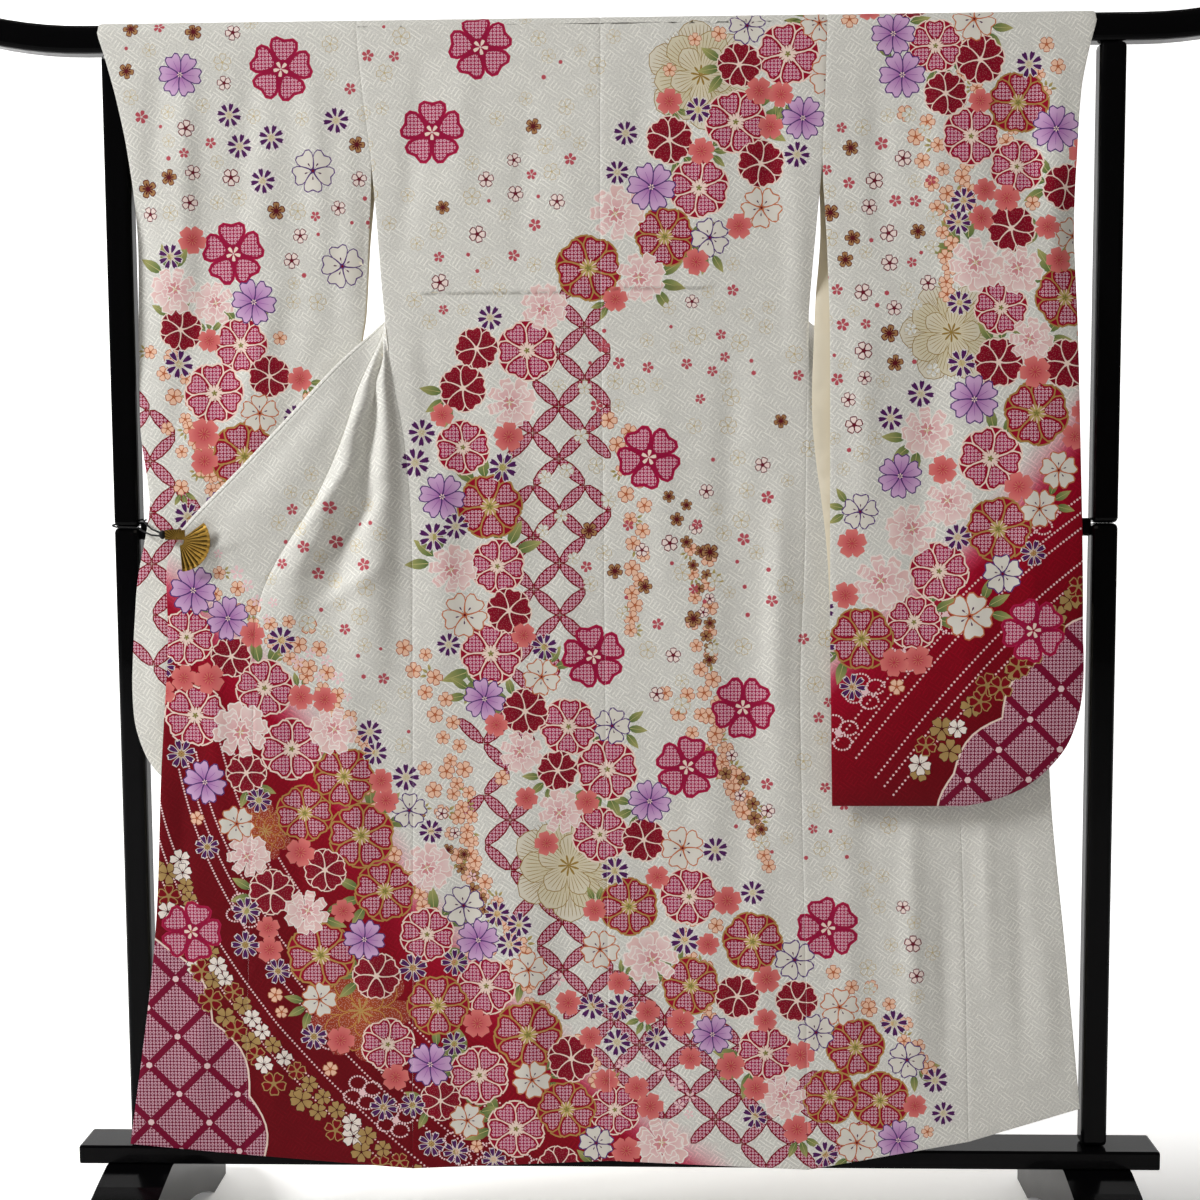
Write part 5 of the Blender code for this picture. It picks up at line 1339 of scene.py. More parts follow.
def sleeve_right_board():
    """The right sleeve's drawing, with its red corner."""
    board = Board(37)
    board.lattice(LATTICE_SLEEVE, "sleeve_field")
    board.dotted_band(6, 0.014, 1.6, sleeve_dots)
    strip = [(0.400 + 0.230 * u, 0.690 + 0.260 * u) for u in np.linspace(0, 1, 20)]
    board.small_blossoms(strip, STRIP_KINDS, 0.014, 0.019, 0.012)
    board.swirls((0.300, 0.745), (0.335, 0.800), (0.385, 0.850), (0.440, 0.900), (0.560, 1.030))
    board.singles((0.555, 0.880))
    board.gild("gilt", (0.445, 1.270), 0.065, 0.032)
    strew_main(board, SLEEVE_RIGHT_WAY, 1.25)
    board.trail(*PEACH_TRAIL, (0.400, 1.560), (0.440, 1.320), 0.07)
    board.trail(*PEACH_TRAIL, (0.480, 1.640), (0.470, 1.440), -0.06)
    board.trail(*PEACH_TRAIL, (0.580, 1.640), (0.520, 1.520), 0.06)
    field = ((0.360, 1.500, 0.06), (0.360, 1.300, 0.06), (0.350, 1.120, 0.04))
    return finish_sleeve(board, SLEEVE_RIGHT_WAY, field, 0.42)


def linear(code, alpha=1.0):
    """An sRGB hex colour as linear numbers."""
    parts = [int(code[k:k + 2], 16) / 255 for k in (0, 2, 4)]
    return tuple(p / 12.92 if p <= 0.04045 else ((p + 0.055) / 1.055) ** 2.4 for p in parts) + (alpha,)


def ground_colours(name, spots):
    """The dyed ground: cream, or red with a soft pale edge."""
    depth = np.full(len(spots), -1.0)
    if name == "body":
        depth = depth_in(HEM_RED, spots)
    if name == "sleeve_right":
        depth = depth_in(SLEEVE_RED, spots)
        far = spots.copy()
        far[:, 1] = FAR_TURN - spots[:, 1]
        depth = np.where(spots[:, 1] > BAR_AXIS + WRAP * math.pi / 2, depth_in(SLEEVE_RED, far), depth)
    stops = [row[0] for row in BLEED]
    return np.stack([np.interp(depth, stops, [linear(row[1])[k] for row in BLEED]) for k in range(3)], axis=1)


LINING_SLACK = 0.0003    # a row of the lining is left out where it would stray by no more than this
LINING_ROWS = 4          # and at most this many rows apart


def border_of(edges):
    """The longest closed chain of directed edges, of those that have a face on one side alone."""
    left, best = {a: b for a, b in edges if (b, a) not in edges}, []
    while left:
        start, after = next(iter(left.items()))
        chain = [start]
        del left[start]
        while after != start and after in left:
            chain.append(after)
            after = left.pop(after)
        if len(chain) > len(best):
            best = chain
    return best


def cell_edges(kept):
    """The directed edges of a grid's kept cells, from corner to corner."""
    edges = set()
    for j, i in np.argwhere(kept).tolist():
        corners = [(j, i), (j, i + 1), (j + 1, i + 1), (j + 1, i)]
        edges.update(zip(corners, corners[1:] + corners[:1]))
    return edges


def surrounded(kept):
    """Corners of a grid that have cloth all round them."""
    return np.all([np.pad(kept, ((down, 1 - down), (across, 1 - across)))
                   for down in (0, 1) for across in (0, 1)], axis=0)


def bent_rows(points):
    """The rows of a grid that its lining needs: the ones between lie nearly straight."""
    rows = len(points)
    needed = np.zeros(rows, dtype=bool)
    needed[:3] = needed[-3:] = True
    last = 2
    for row in range(3, rows - 3):
        part = (np.arange(last + 1, row + 1) - last) / (row + 1 - last)
        straight = points[last] + part[:, None, None] * (points[row + 1] - points[last])
        away = np.linalg.norm(points[last + 1:row + 1] - straight, axis=2).max()
        if away > LINING_SLACK or row - last >= LINING_ROWS:
            needed[row] = True
            last = row
    return needed


def counter_clockwise(shape):
    """The same outline, turned about if it runs clockwise."""
    return shape if signed_area(shape) > 0 else shape[::-1]


CUT_MERGE = 0.02         # mm within which corners of the cut board become one


def cut_board(loop, inside, shapes):
    """Cut the board inside a loop into triangles along every shape's outline."""
    parts = [loop, inside] + shapes
    corners = [Vector(p) for p in (np.concatenate(parts) * MM).tolist()]
    faces, first = [list(range(len(loop)))], len(loop) + len(inside)
    for shape in shapes:
        faces.append(list(range(first, first + len(shape))))
        first += len(shape)
    places, _, triangles, origins, _, owners = delaunay_2d_cdt(corners, [], faces, 0, CUT_MERGE, True)
    found = [(triangle, owned) for triangle, owned in zip(triangles, owners) if 0 in owned]
    places = np.array([tuple(p) for p in places]) / MM
    return places, np.array([row[0] for row in found]), [row[1] for row in found], origins


def lay_on(shell, spots):
    """Corners and weights that carry places of the board over to a shell's faces."""
    rows, columns = shell.flat.shape[:2]
    numbers = np.arange(rows * columns).reshape(rows, columns)
    j, i = np.nonzero(shell.kept)
    a, b, c, d = numbers[j, i], numbers[j, i + 1], numbers[j + 1, i + 1], numbers[j + 1, i]
    triangles = np.concatenate([np.stack([a, b, c], 1), np.stack([a, c, d], 1)])
    flat = shell.flat.reshape(-1, 2)
    tree = BVHTree.FromPolygons(np.pad(flat, ((0, 0), (0, 1))).tolist(), triangles.tolist())
    hits = [tree.find_nearest((s, t, 0.0))[2] for s, t in spots.tolist()]
    corners = triangles[hits]
    p, q, r = (flat[corners[:, k]] for k in range(3))
    u, v, w = q - p, r - p, spots - p
    cross = u[:, 0] * v[:, 1] - u[:, 1] * v[:, 0]
    cross = np.where(np.abs(cross) < 1e-14, 1e-14, cross)
    second = (w[:, 0] * v[:, 1] - w[:, 1] * v[:, 0]) / cross
    third = (u[:, 0] * w[:, 1] - u[:, 1] * w[:, 0]) / cross
    weights = np.clip(np.stack([1 - second - third, second, third], 1), 0.0, 1.0)
    weights /= weights.sum(axis=1, keepdims=True)
    return corners, weights


def carried(values, corners, weights):
    """Values of a shell's grid, carried to places of the board."""
    return np.einsum("nk,nkd->nd", weights, values.reshape(-1, 3)[corners])


def top_marks(owners, middles, marks):
    """The uppermost mark on every triangle, as a number from 1, or 0 for the bare ground."""
    areas = {}
    for k, mark in enumerate(marks):
        if mark.area:
            areas.setdefault(mark.area, set()).add(k + 1)
    boxes = [(*mark.shape.min(axis=0), *mark.shape.max(axis=0)) for mark in marks]
    top = []
    for owned, (s, t) in zip(owners, middles.tolist()):
        best = 0
        for k in owned:
            if k <= best:
                continue
            left, low, right, high = boxes[k - 1]
            inside = marks[k - 1].inside
            allowed = inside is None or areas.get(inside, set()) & set(owned)
            if left <= s <= right and low <= t <= high and allowed:
                best = k
        top.append(best)
    return np.array(top)


def dye_table(name, marks, places, triangles, top):
    """Colour and finish at every corner of the outer face."""
    spots = places[triangles]
    colours = ground_colours(name, places)[triangles]
    finish = np.zeros(colours.shape[:2] + (4,))
    finish[..., 3] = 1.0
    keys = ["ground"] + list(PAINTS)
    table = np.array([linear(p.middle)[:3] + linear(p.rim)[:3] + (p.power, p.kanoko, p.gilt, p.stipple)
                      for p in PAINTS.values()])
    paint = np.array([-1] + [keys.index(mark.paint) - 1 for mark in marks])[top]
    centres = np.array([(0.0, 0.0)] + [mark.centre for mark in marks])[top]
    radii = np.array([1.0] + [mark.radius for mark in marks])[top]
    painted = paint >= 0
    row = table[paint[painted]]
    away = np.linalg.norm(spots[painted] - centres[painted][:, None], axis=2) / radii[painted][:, None]
    share = (np.clip(away, 0, 1) ** row[:, 6][:, None])[..., None]
    colours[painted] = row[:, None, 0:3] * (1 - share) + row[:, None, 3:6] * share
    finish[painted, :, 0:3] = row[:, None, 7:10]
    finish[painted, :, 3] = 0.0
    return colours, finish


# Parts of the baking map: where each starts and how wide it is, of 1, and into how many strips the
# cloth is cut there; and metres of the board kept free round a strip.
BAKE_SILK = 0.0, 0.86, 3
BAKE_LINING = 0.87, 0.13, 1
BAKE_MARGIN = 0.012


def bake_places(places, triangles, left, width, strips):
    """Lay triangles out for baking: the board's length cut into strips side by side."""
    low, high = places.min(axis=0), places.max(axis=0)
    length = (high[1] - low[1]) / strips
    middle = places[triangles].mean(axis=1)[:, 1]
    strip = np.clip(((middle - low[1]) / length).astype(int), 0, strips - 1)
    s, t = places[triangles][..., 0], places[triangles][..., 1]
    across = (s - low[0] + BAKE_MARGIN) / (high[0] - low[0] + 2 * BAKE_MARGIN)
    up = (t - low[1] - strip[:, None] * length + BAKE_MARGIN) / (length + 2 * BAKE_MARGIN)
    return np.stack([left + width * (strip[:, None] + across) / strips, up], axis=-1)


def rim_between(border, lining, first):
    """Faces that join the outer border to the lining's; lining gives its corner for each outer one."""
    rim = []
    for k, (a, b) in enumerate(zip(border, np.roll(border, -1))):
        after = (k + 1) % len(border)
        if k in lining and after in lining and lining[k] != lining[after]:
            c, d = lining[k] + first, lining[after] + first
            rim += [(b, a, c), (b, c, d)]
    return np.array(rim).reshape(-1, 3)


def cloth_object(name, board_name, board, shell, materials):
    """A closed shell of dyed cloth with its lining, as a new object."""
    loop = counter_clockwise(np.array([shell.flat[cell] for cell in border_of(cell_edges(shell.kept))]))
    low, high = loop.min(axis=0), loop.max(axis=0)
    marks = [mark for mark in board.stacked()
             if np.all(mark.shape.max(axis=0) > low) and np.all(mark.shape.min(axis=0) < high)]
    inner_nodes = surrounded(shell.kept)
    places, triangles, owners, _ = cut_board(loop, shell.flat[inner_nodes],
                                             [counter_clockwise(mark.shape) for mark in marks])
    top = top_marks(owners, places[triangles].mean(axis=1), marks)
    edges = set()
    for a, b, c in triangles.tolist():
        edges.update(((a, b), (b, c), (c, a)))
    border = border_of(edges)
    sparse = inner_nodes & bent_rows(shell.inner)[:, None]
    lining_places, lining_triangles, _, origins = cut_board(places[border], shell.flat[sparse], [])
    lining = {old: new for new, olds in enumerate(origins) for old in olds}
    used = np.unique(triangles)
    renumber = np.full(len(places), -1)
    renumber[used] = np.arange(len(used))
    places, triangles, border = places[used], renumber[triangles], renumber[border]
    way = lay_on(shell, places)
    outer, outer_normals = carried(shell.outer, *way), carried(shell.outer_normals, *way)
    way = lay_on(shell, lining_places)
    inner, inner_normals = carried(shell.inner, *way), carried(shell.inner_normals, *way)
    a, b, c = (outer[triangles[:, k]] for k in range(3))
    facing = np.sum(np.cross(b - a, c - a) * outer_normals[triangles[:, 0]])
    outside, inside = triangles, lining_triangles[:, ::-1] + len(outer)
    rim = rim_between(border, lining, len(outer))
    if facing < 0:
        outside, inside, rim = outside[:, ::-1], inside[:, ::-1], rim[:, ::-1]
    faces = np.concatenate([outside, inside, rim]).astype(int)
    mesh = bpy.data.meshes.new(name)
    mesh.from_pydata(np.concatenate([outer, inner]).tolist(), [], faces.tolist())
    for material in materials:
        mesh.materials.append(material)
    slots = np.repeat(np.array([0, 1, 0], dtype=np.int32), [len(outside), len(inside), len(rim)])
    mesh.polygons.foreach_set("material_index", slots)
    mesh.shade_smooth()
    everywhere = np.concatenate([places, lining_places])
    colours, finish = dye_table(board_name, marks, places, outside, top)
    plain = np.broadcast_to(np.array(linear(LINING_CREAM)[:3]), (len(inside), 3, 3))
    colours = np.concatenate([colours, plain, ground_colours(board_name, everywhere)[rim]])
    finish = np.concatenate([finish, np.zeros((len(inside) + len(rim), 3, 4))])
    for layer, values in (("dye", np.pad(colours, ((0, 0), (0, 0), (0, 1)), constant_values=1.0)),
                          ("finish", finish)):
        mesh.color_attributes.new(layer, "FLOAT_COLOR", "CORNER").data.foreach_set("color", values.ravel())
    hidden = np.concatenate([inside, rim]).astype(int)
    baked = [bake_places(places, outside, *BAKE_SILK), bake_places(everywhere, hidden, *BAKE_LINING)]
    for layer, values in (("Silk", everywhere[faces] * MM), ("OFBake", np.concatenate(baked))):
        mesh.uv_layers.new(name=layer).data.foreach_set("uv", values.ravel())
    normals = unit(np.concatenate([outer_normals, inner_normals]))
    mesh.normals_split_custom_set(normals[faces].reshape(-1, 3).tolist())
    return placed(name, mesh)


def placed(name, data):
    """A new object in the scene."""
    made = bpy.data.objects.new(name, data)
    bpy.context.scene.collection.objects.link(made)
    return made


# Sockets by number. A map range takes its value, from low, from high, to low and to high. A mix takes
# its share, then two values as 2 and 3, or two colours as 6 and 7, which it gives back as output 2.


def feed(node, inputs):
    """Set or link a node's sockets; a node given as a value stands for its first output."""
    for socket, value in inputs.items():
        if isinstance(value, bpy.types.Node):
            value = value.outputs[0]
        if isinstance(value, bpy.types.NodeSocket):
            node.id_data.links.new(value, node.inputs[socket])
        else:
            node.inputs[socket].default_value = value


def add(tree, kind, inputs=None, **settings):
    """Add a shader node with its settings and inputs."""
    node = tree.nodes.new("ShaderNode" + kind)
    for key, value in settings.items():
        setattr(node, key, value)
    feed(node, inputs or {})
    return node


def new_material(name, values):
    """A material with its constants on the shader itself. Returns it, its shader and its own add."""
    made = bpy.data.materials.new(name)
    made.use_nodes = True
    shader = made.node_tree.nodes["Principled BSDF"]
    feed(shader, values)
    return made, shader, partial(add, made.node_tree)


WAVE_REPEAT = 0.314      # a wave texture of scale 1 repeats over this length
# Patterns in the silk, in mm. The woven figure is coarser than real, so that it shows.
DAMASK_BAR = 5.2
DAMASK_BLOCK = 15.0
DAMASK_SLANT = math.radians(34)
KNOT_PITCH = 4.8         # from ring to ring of the tie-dye
STIPPLE_PITCH = 2.8
SILK_ROUGH = 0.46
STIPPLE_PALE = "f0d8c8"


def damask_and_glints(node, place):
    """Woven figure of the satin ground, in mm: blocks of short slanting bars that turn at every
    block, like a broken key fret, faded in and out by a broad noise that stands for where light
    would strike them: painted glints."""
    slant = node("Mapping", {0: place, "Rotation": (0, 0, DAMASK_SLANT)})
    stripes = {"Vector": slant, "Scale": WAVE_REPEAT / DAMASK_BAR, "Distortion": 2.2, "Detail": 1.0,
               "Detail Scale": 0.5}
    along, across = (node("TexWave", stripes, bands_direction=way, wave_profile="SAW").outputs["Fac"]
                     for way in "XY")
    uneven = node("Mapping", {0: slant, "Scale": (0.7, 1.3, 1.0)})
    blocks = node("TexChecker", {"Vector": uneven, "Scale": 1 / DAMASK_BLOCK})
    bars = node("Mix", {0: blocks.outputs["Fac"], 2: along, 3: across})
    crisp = node("MapRange", {0: bars, 1: 0.62, 2: 0.76})
    # Broad noise that fades the figure in and out: painted glints, standing for where light strikes the
    # satin.
    glint_patches = node("TexNoise", {"Vector": place, "Scale": 0.045, "Detail": 4.0, "Roughness": 0.7},
                   noise_dimensions="2D")
    seen = node("MapRange", {0: glint_patches, 1: 0.38, 2: 0.56, 3: 0.25, 4: 1.0})
    return node("Math", {0: crisp, 1: seen}, operation="MULTIPLY")


def tie_dye(node, place):
    """Rings round the tied points of kanoko, 1 where the dye was kept off."""
    knots = node("Mapping", {0: place, "Scale": (1 / KNOT_PITCH, 1 / KNOT_PITCH, 1.0)})
    cell = node("VectorMath", {0: knots}, operation="FRACTION")
    middle = node("VectorMath", {0: cell, 1: (0.5, 0.5, 0.0)}, operation="SUBTRACT")
    reach = node("VectorMath", {0: middle}, operation="LENGTH").outputs["Value"]
    rim = node("MapRange", {0: reach, 1: 0.44, 2: 0.36})
    heart = node("MapRange", {0: reach, 1: 0.11, 2: 0.20})
    return node("Math", {0: rim, 1: heart}, operation="MULTIPLY")


def silk_material():
    """Silk crepe satin, woven with a figure and dyed by hand: a soft, broad sheen that the woven
    figure breaks up, with the figure and a fine grain also painted lighter into the colour as
    painted sheen and sparkle, raised rings where it was tied, and gold leaf that glints."""
    made, shader, node = new_material("dyed_figured_silk_satin", {
        "Roughness": SILK_ROUGH, "IOR": 1.53, "Specular IOR Level": 0.10, "Sheen Weight": 0.02,
        "Sheen Roughness": 0.35,
    })
    dye = node("Attribute", attribute_name="dye")
    finish = node("Attribute", attribute_name="finish")
    masks = node("SeparateColor", {0: finish.outputs["Color"]})
    kanoko, gilt, stipple = masks.outputs
    ground = finish.outputs["Alpha"]
    place = node("UVMap", uv_map="Silk")
    tied = node("Math", {0: tie_dye(node, place), 1: kanoko}, operation="MULTIPLY")
    pale = node("Mix", {0: tied, 6: dye.outputs["Color"], 7: linear(KANOKO_PALE)}, data_type="RGBA")
    grains = node("TexVoronoi", {"Vector": place, "Scale": 1 / STIPPLE_PITCH}, voronoi_dimensions="2D")
    grain = node("MapRange", {0: grains.outputs["Distance"], 1: 0.24, 2: 0.16})
    sprinkled = node("Math", {0: grain, 1: stipple}, operation="MULTIPLY")
    dusted = node("Mix", {0: sprinkled, 6: pale.outputs[2], 7: linear(STIPPLE_PALE)}, data_type="RGBA")
    figure = damask_and_glints(node, place)
    on_ground = node("Math", {0: figure, 1: ground}, operation="MULTIPLY")
    # Fine random grain, made strong enough to stand for the satin's sparkle, and the woven figure painted
    # lighter: painted sheen and sparkle multiplied into the dye's colour.
    grain_and_sparkle = node("TexNoise", {"Vector": place, "Scale": 0.55, "Detail": 2.0}, noise_dimensions="2D")
    woven = node("Math", {0: figure, 1: 0.26, 2: 0.63}, operation="MULTIPLY_ADD")
    grain_and_sheen_tone = node("Math", {0: grain_and_sparkle, 1: 0.50, 2: woven}, operation="MULTIPLY_ADD")
    tones = node("CombineColor", {0: grain_and_sheen_tone, 1: grain_and_sheen_tone, 2: grain_and_sheen_tone})
    lit = node("Mix", {0: ground, 6: dusted.outputs[2], 7: tones}, data_type="RGBA", blend_type="MULTIPLY")
    gloss = node("Math", {0: on_ground, 1: -0.18, 2: SILK_ROUGH}, operation="MULTIPLY_ADD")
    nap = node("TexNoise", {"Vector": place, "Scale": 0.9, "Detail": 3.0}, noise_dimensions="2D")
    height = node("Math", {0: nap, 1: 0.35, 2: 0.0}, operation="MULTIPLY_ADD")
    height = node("Math", {0: tied, 1: 0.8, 2: height}, operation="MULTIPLY_ADD")
    height = node("Math", {0: on_ground, 1: 0.35, 2: height}, operation="MULTIPLY_ADD")
    bump = node("Bump", {"Strength": 0.5, "Distance": 0.0003, "Height": height})
    feed(shader, {"Base Color": lit.outputs[2], "Roughness": gloss, "Metallic": gilt, "Normal": bump})
    return made


def lining_material():
    """Plain woven silk lining: cream, even, with a dull shine and slight crossways ribs."""
    made, shader, node = new_material("plain_silk_lining", {
        "Roughness": 0.55, "IOR": 1.53, "Sheen Weight": 0.10, "Sheen Roughness": 0.4,
    })
    place = node("UVMap", uv_map="Silk")
    cloud = node("TexNoise", {"Vector": place, "Scale": 0.02, "Detail": 2.0}, noise_dimensions="2D")
    tone = node("Mix", {0: cloud, 6: linear("e2d8c0"), 7: linear("ebe3cf")}, data_type="RGBA")
    ribs = node("TexWave", {"Vector": place, "Scale": 0.35, "Distortion": 0.4}, bands_direction="Y")
    bump = node("Bump", {"Strength": 0.25, "Distance": 0.0002, "Height": ribs.outputs[1]})
    feed(shader, {"Base Color": tone.outputs[2], "Normal": bump})
    return made


def lacquer_material():
    """Black lacquer sprayed on wood and rubbed out: deep gloss under a clear coat, faintly uneven."""
    made, shader, node = new_material("black_lacquer", {
        "Base Color": linear("060607"), "IOR": 1.5, "Specular IOR Level": 0.06, "Coat Weight": 0.06,
        "Coat Roughness": 0.03, "Coat IOR": 1.5,
    })
    place = node("TexCoord").outputs["Object"]
    haze = node("TexNoise", {"Vector": place, "Scale": 14.0, "Detail": 3.0})
    rough = node("MapRange", {0: haze, 1: 0.3, 2: 0.7, 3: 0.10, 4: 0.20})
    skin = node("TexNoise", {"Vector": place, "Scale": 240.0, "Detail": 1.0})
    bump = node("Bump", {"Strength": 0.06, "Distance": 0.0003, "Height": skin})
    feed(shader, {"Roughness": rough, "Normal": bump})
    return made


# The pressed fan of the clip
FAN_PIVOT = (-0.573, -0.0673, 1.003)
FAN_RIB_TURN = math.radians(122 / 12)     # angle from rib to rib
FAN_RIBS_END = 0.0365    # distances from the pivot between which the ribs are pressed
FAN_RIBS_START = 0.012
FAN_HUB = 0.008
FAN_RIM = 0.0380


def brass_material():
    """Pressed and gilded brass: warm, half dull, with its colour darkened in the grooves between the fan's
    ribs.
    """
    made, shader, node = new_material("pressed_brass", {"Metallic": 1.0})
    place = node("TexCoord").outputs["Object"]
    stain = node("TexNoise", {"Vector": place, "Scale": 160.0, "Detail": 4.0})
    tone = node("Mix", {0: stain, 6: linear("7d5a22"), 7: linear("c8a250")}, data_type="RGBA")
    away = node("VectorMath", {0: place, 1: FAN_PIVOT}, operation="SUBTRACT")
    parts = node("SeparateXYZ", {0: away})
    angle = node("Math", {0: parts.outputs[2], 1: parts.outputs[0]}, operation="ARCTAN2")
    rib = node("Math", {0: angle, 1: 2 * math.pi / FAN_RIB_TURN}, operation="MULTIPLY")
    wave = node("Math", {0: rib}, operation="COSINE")
    # The colour is made darker along the grooves between the ribs.
    groove = node("MapRange", {0: wave, 1: 0.2, 2: 0.75, 3: 0.0, 4: 0.85})
    reach = node("VectorMath", {0: away}, operation="LENGTH").outputs["Value"]
    rim = node("MapRange", {0: reach, 1: FAN_RIBS_END, 2: FAN_RIM, 3: 1.0, 4: 0.0})
    hub = node("MapRange", {0: reach, 1: FAN_HUB, 2: FAN_RIBS_START, 3: 0.0, 4: 1.0})
    band = node("Math", {0: rim, 1: hub}, operation="MULTIPLY")
    dark = node("Math", {0: groove, 1: band}, operation="MULTIPLY")
    black = node("Mix", {0: dark, 6: tone.outputs[2], 7: linear("1a130a")}, data_type="RGBA")
    rough = node("MapRange", {0: stain, 1: 0.3, 2: 0.7, 3: 0.42, 4: 0.24})
    bump = node("Bump", {"Strength": 0.2, "Distance": 0.0002, "Height": stain})
    feed(shader, {"Base Color": black.outputs[2], "Roughness": rough, "Normal": bump})
    return made


def cord_material():
    """Braided rayon cord: black, matt, with fine slanting strands about 1.4 mm apart."""
    made, shader, node = new_material("braided_black_cord", {
        "Roughness": 0.62, "Specular IOR Level": 0.25, "Sheen Weight": 0.05, "Sheen Roughness": 0.5,
    })
    place = node("TexCoord").outputs["Object"]
    strands = node("TexWave", {"Vector": place, "Scale": 260.0, "Distortion": 1.0},
                   bands_direction="DIAGONAL").outputs[1]
    tone = node("Mix", {0: strands, 6: linear("040405"), 7: linear("0f0e11")}, data_type="RGBA")
    bump = node("Bump", {"Strength": 0.6, "Distance": 0.0003, "Height": strands})
    feed(shader, {"Base Color": tone.outputs[2], "Normal": bump})
    return made


def repainted(material, *nodes):
    """Give CAD nodes a finish in their own material slots."""
    for name in nodes:
        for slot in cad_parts[name].material_slots:
            slot.link = "OBJECT"
            slot.material = material


# The board that a panel is drawn on, and the solids that it stands for.
Cut = namedtuple("Cut", "board solids")
CUTS = {
    "back_left": Cut("body", ("back_left",)),
    "back_right": Cut("body", ("back_right",)),
    "front_left": Cut("body", ("front_left", "front_shoulder_left")),
    "front_right": Cut("body", ("front_right", "front_shoulder_right")),
    "overlap_left": Cut("body", ("overlap_left",)),
    "overlap_right": Cut("body", ("overlap_right",)),
    "sleeve_left": Cut("sleeve_left", ("sleeve_left_near", "sleeve_left_far")),
    "sleeve_right": Cut("sleeve_right", ("sleeve_right_near", "sleeve_right_far")),
    "collar": Cut("collar", ("collar",)),
}
SHELL_THICKNESS = 0.0014
COLLAR_THICKNESS = 0.0028
store = {}


def garment():
    """Sheets, boards and cloth materials, made once and shared by the operators."""
    if not store:
        store["sheets"] = garment_sheets()
        store["boards"] = {"body": body_board(), "sleeve_left": sleeve_left_board(),
                           "sleeve_right": sleeve_right_board(), "collar": Board(5)}
        store["materials"] = (silk_material(), lining_material())
    return store


def make_piece(name, thickness=SHELL_THICKNESS):
    made = garment()
    cut = CUTS[name]
    shell = shell_of(name, made["sheets"][name], thickness)
    piece = cloth_object(name + "_silk", cut.board, made["boards"][cut.board], shell, made["materials"])
    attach(piece, "root")
    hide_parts(*cut.solids)


class FurisodeCloth(bpy.types.PropertyGroup):
    thickness: bpy.props.FloatProperty(
        name="Cloth thickness", description="Silk and lining together", default=SHELL_THICKNESS,
        unit="LENGTH")
    collar_thickness: bpy.props.FloatProperty(
        name="Collar thickness", description="The folded collar band", default=COLLAR_THICKNESS,
        unit="LENGTH")


class FurisodeStudio(bpy.types.PropertyGroup):
    floor_colour: bpy.props.FloatVectorProperty(
        name="Floor", description="Colour of floor and backdrop", default=linear("f4f4f4")[:3],
        subtype="COLOR")
    daylight: bpy.props.FloatProperty(
        name="Daylight", description="Strength of the even light all round", default=0.10)
    key_power: bpy.props.FloatProperty(
        name="Main light", description="Power that both soft lights take their shares of", default=90.0,
        unit="POWER")


class FURISODE_OT_body(bpy.types.Operator):
    """Sew the back, fronts and overlap panels"""
    bl_idname = "furisode.body"
    bl_label = "Body panels"

    def execute(self, context):
        for part in ("back", "front", "overlap"):
            for side in ("left", "right"):
                make_piece(part + "_" + side, context.scene.furisode_cloth.thickness)
        return {"FINISHED"}


class FURISODE_OT_sleeves(bpy.types.Operator):
    """Sew the two long sleeves"""
    bl_idname = "furisode.sleeves"
    bl_label = "Sleeves"

    def execute(self, context):
        for side in ("left", "right"):
            make_piece("sleeve_" + side, context.scene.furisode_cloth.thickness)
        return {"FINISHED"}


class FURISODE_OT_collar(bpy.types.Operator):
    """Sew the collar band"""
    bl_idname = "furisode.collar"
    bl_label = "Collar"

    def execute(self, context):
        make_piece("collar", context.scene.furisode_cloth.collar_thickness)
        return {"FINISHED"}


class FURISODE_OT_stand(bpy.types.Operator):
    """Lacquer the stand, gild the clip and braid the cord"""
    bl_idname = "furisode.stand"
    bl_label = "Stand and tie"

    def execute(self, context):
        repainted(lacquer_material(), *(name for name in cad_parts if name.startswith("stand_")))
        repainted(brass_material(), "clip_fan", "clip_jaw")
        repainted(cord_material(), "tie_knot", "tie_cord")
        return {"FINISHED"}


# The camera, from the lines of the photographed stand; angles in radians, and the lens in mm.
CAMERA_PLACE = (0.0511, -2.2982, 1.1028)
CAMERA_YAW = -0.0296
CAMERA_PITCH = 0.0806
CAMERA_ROLL = 0.0056
CAMERA_LENS = 50.83


def camera_matrix():
    """The camera's place and turn."""
    yaw, pitch, roll = CAMERA_YAW, CAMERA_PITCH, CAMERA_ROLL
    ahead = Vector((math.sin(yaw) * math.cos(pitch), math.cos(yaw) * math.cos(pitch), -math.sin(pitch)))
    right = Vector((math.cos(yaw), -math.sin(yaw), 0.0))
    down = ahead.cross(right)
    level = right * math.cos(roll) + down * math.sin(roll)
    fall = down * math.cos(roll) - right * math.sin(roll)
    turn = Matrix((level, -fall, -ahead)).transposed().to_4x4()
    turn.translation = CAMERA_PLACE
    return turn


# Soft lights, at the upper left of the stand and before it; share is of the main light's power.
Lamp = namedtuple("Lamp", "name place size share colour")
LAMPS = (
    Lamp("key", (-6.0, -2.8, 5.2), (2.0, 2.0), 6.0, "ffffff"),
    Lamp("fill", (0.0, -3.2, 3.1), (1.2, 1.0), 0.08, "fff6e8"),
)
LAMP_TARGET = (0.0, 0.0, 0.9)


def hang_lamp(lamp, power):
    """A rectangular soft light that looks at the garment."""
    data = bpy.data.lights.new(lamp.name, "AREA")
    data.shape = "RECTANGLE"
    data.size, data.size_y = lamp.size
    data.energy = power * lamp.share
    data.color = linear(lamp.colour)[:3]
    made = placed(lamp.name, data)
    made.location = lamp.place
    made.rotation_euler = (Vector(LAMP_TARGET) - Vector(lamp.place)).to_track_quat("-Z", "Y").to_euler()


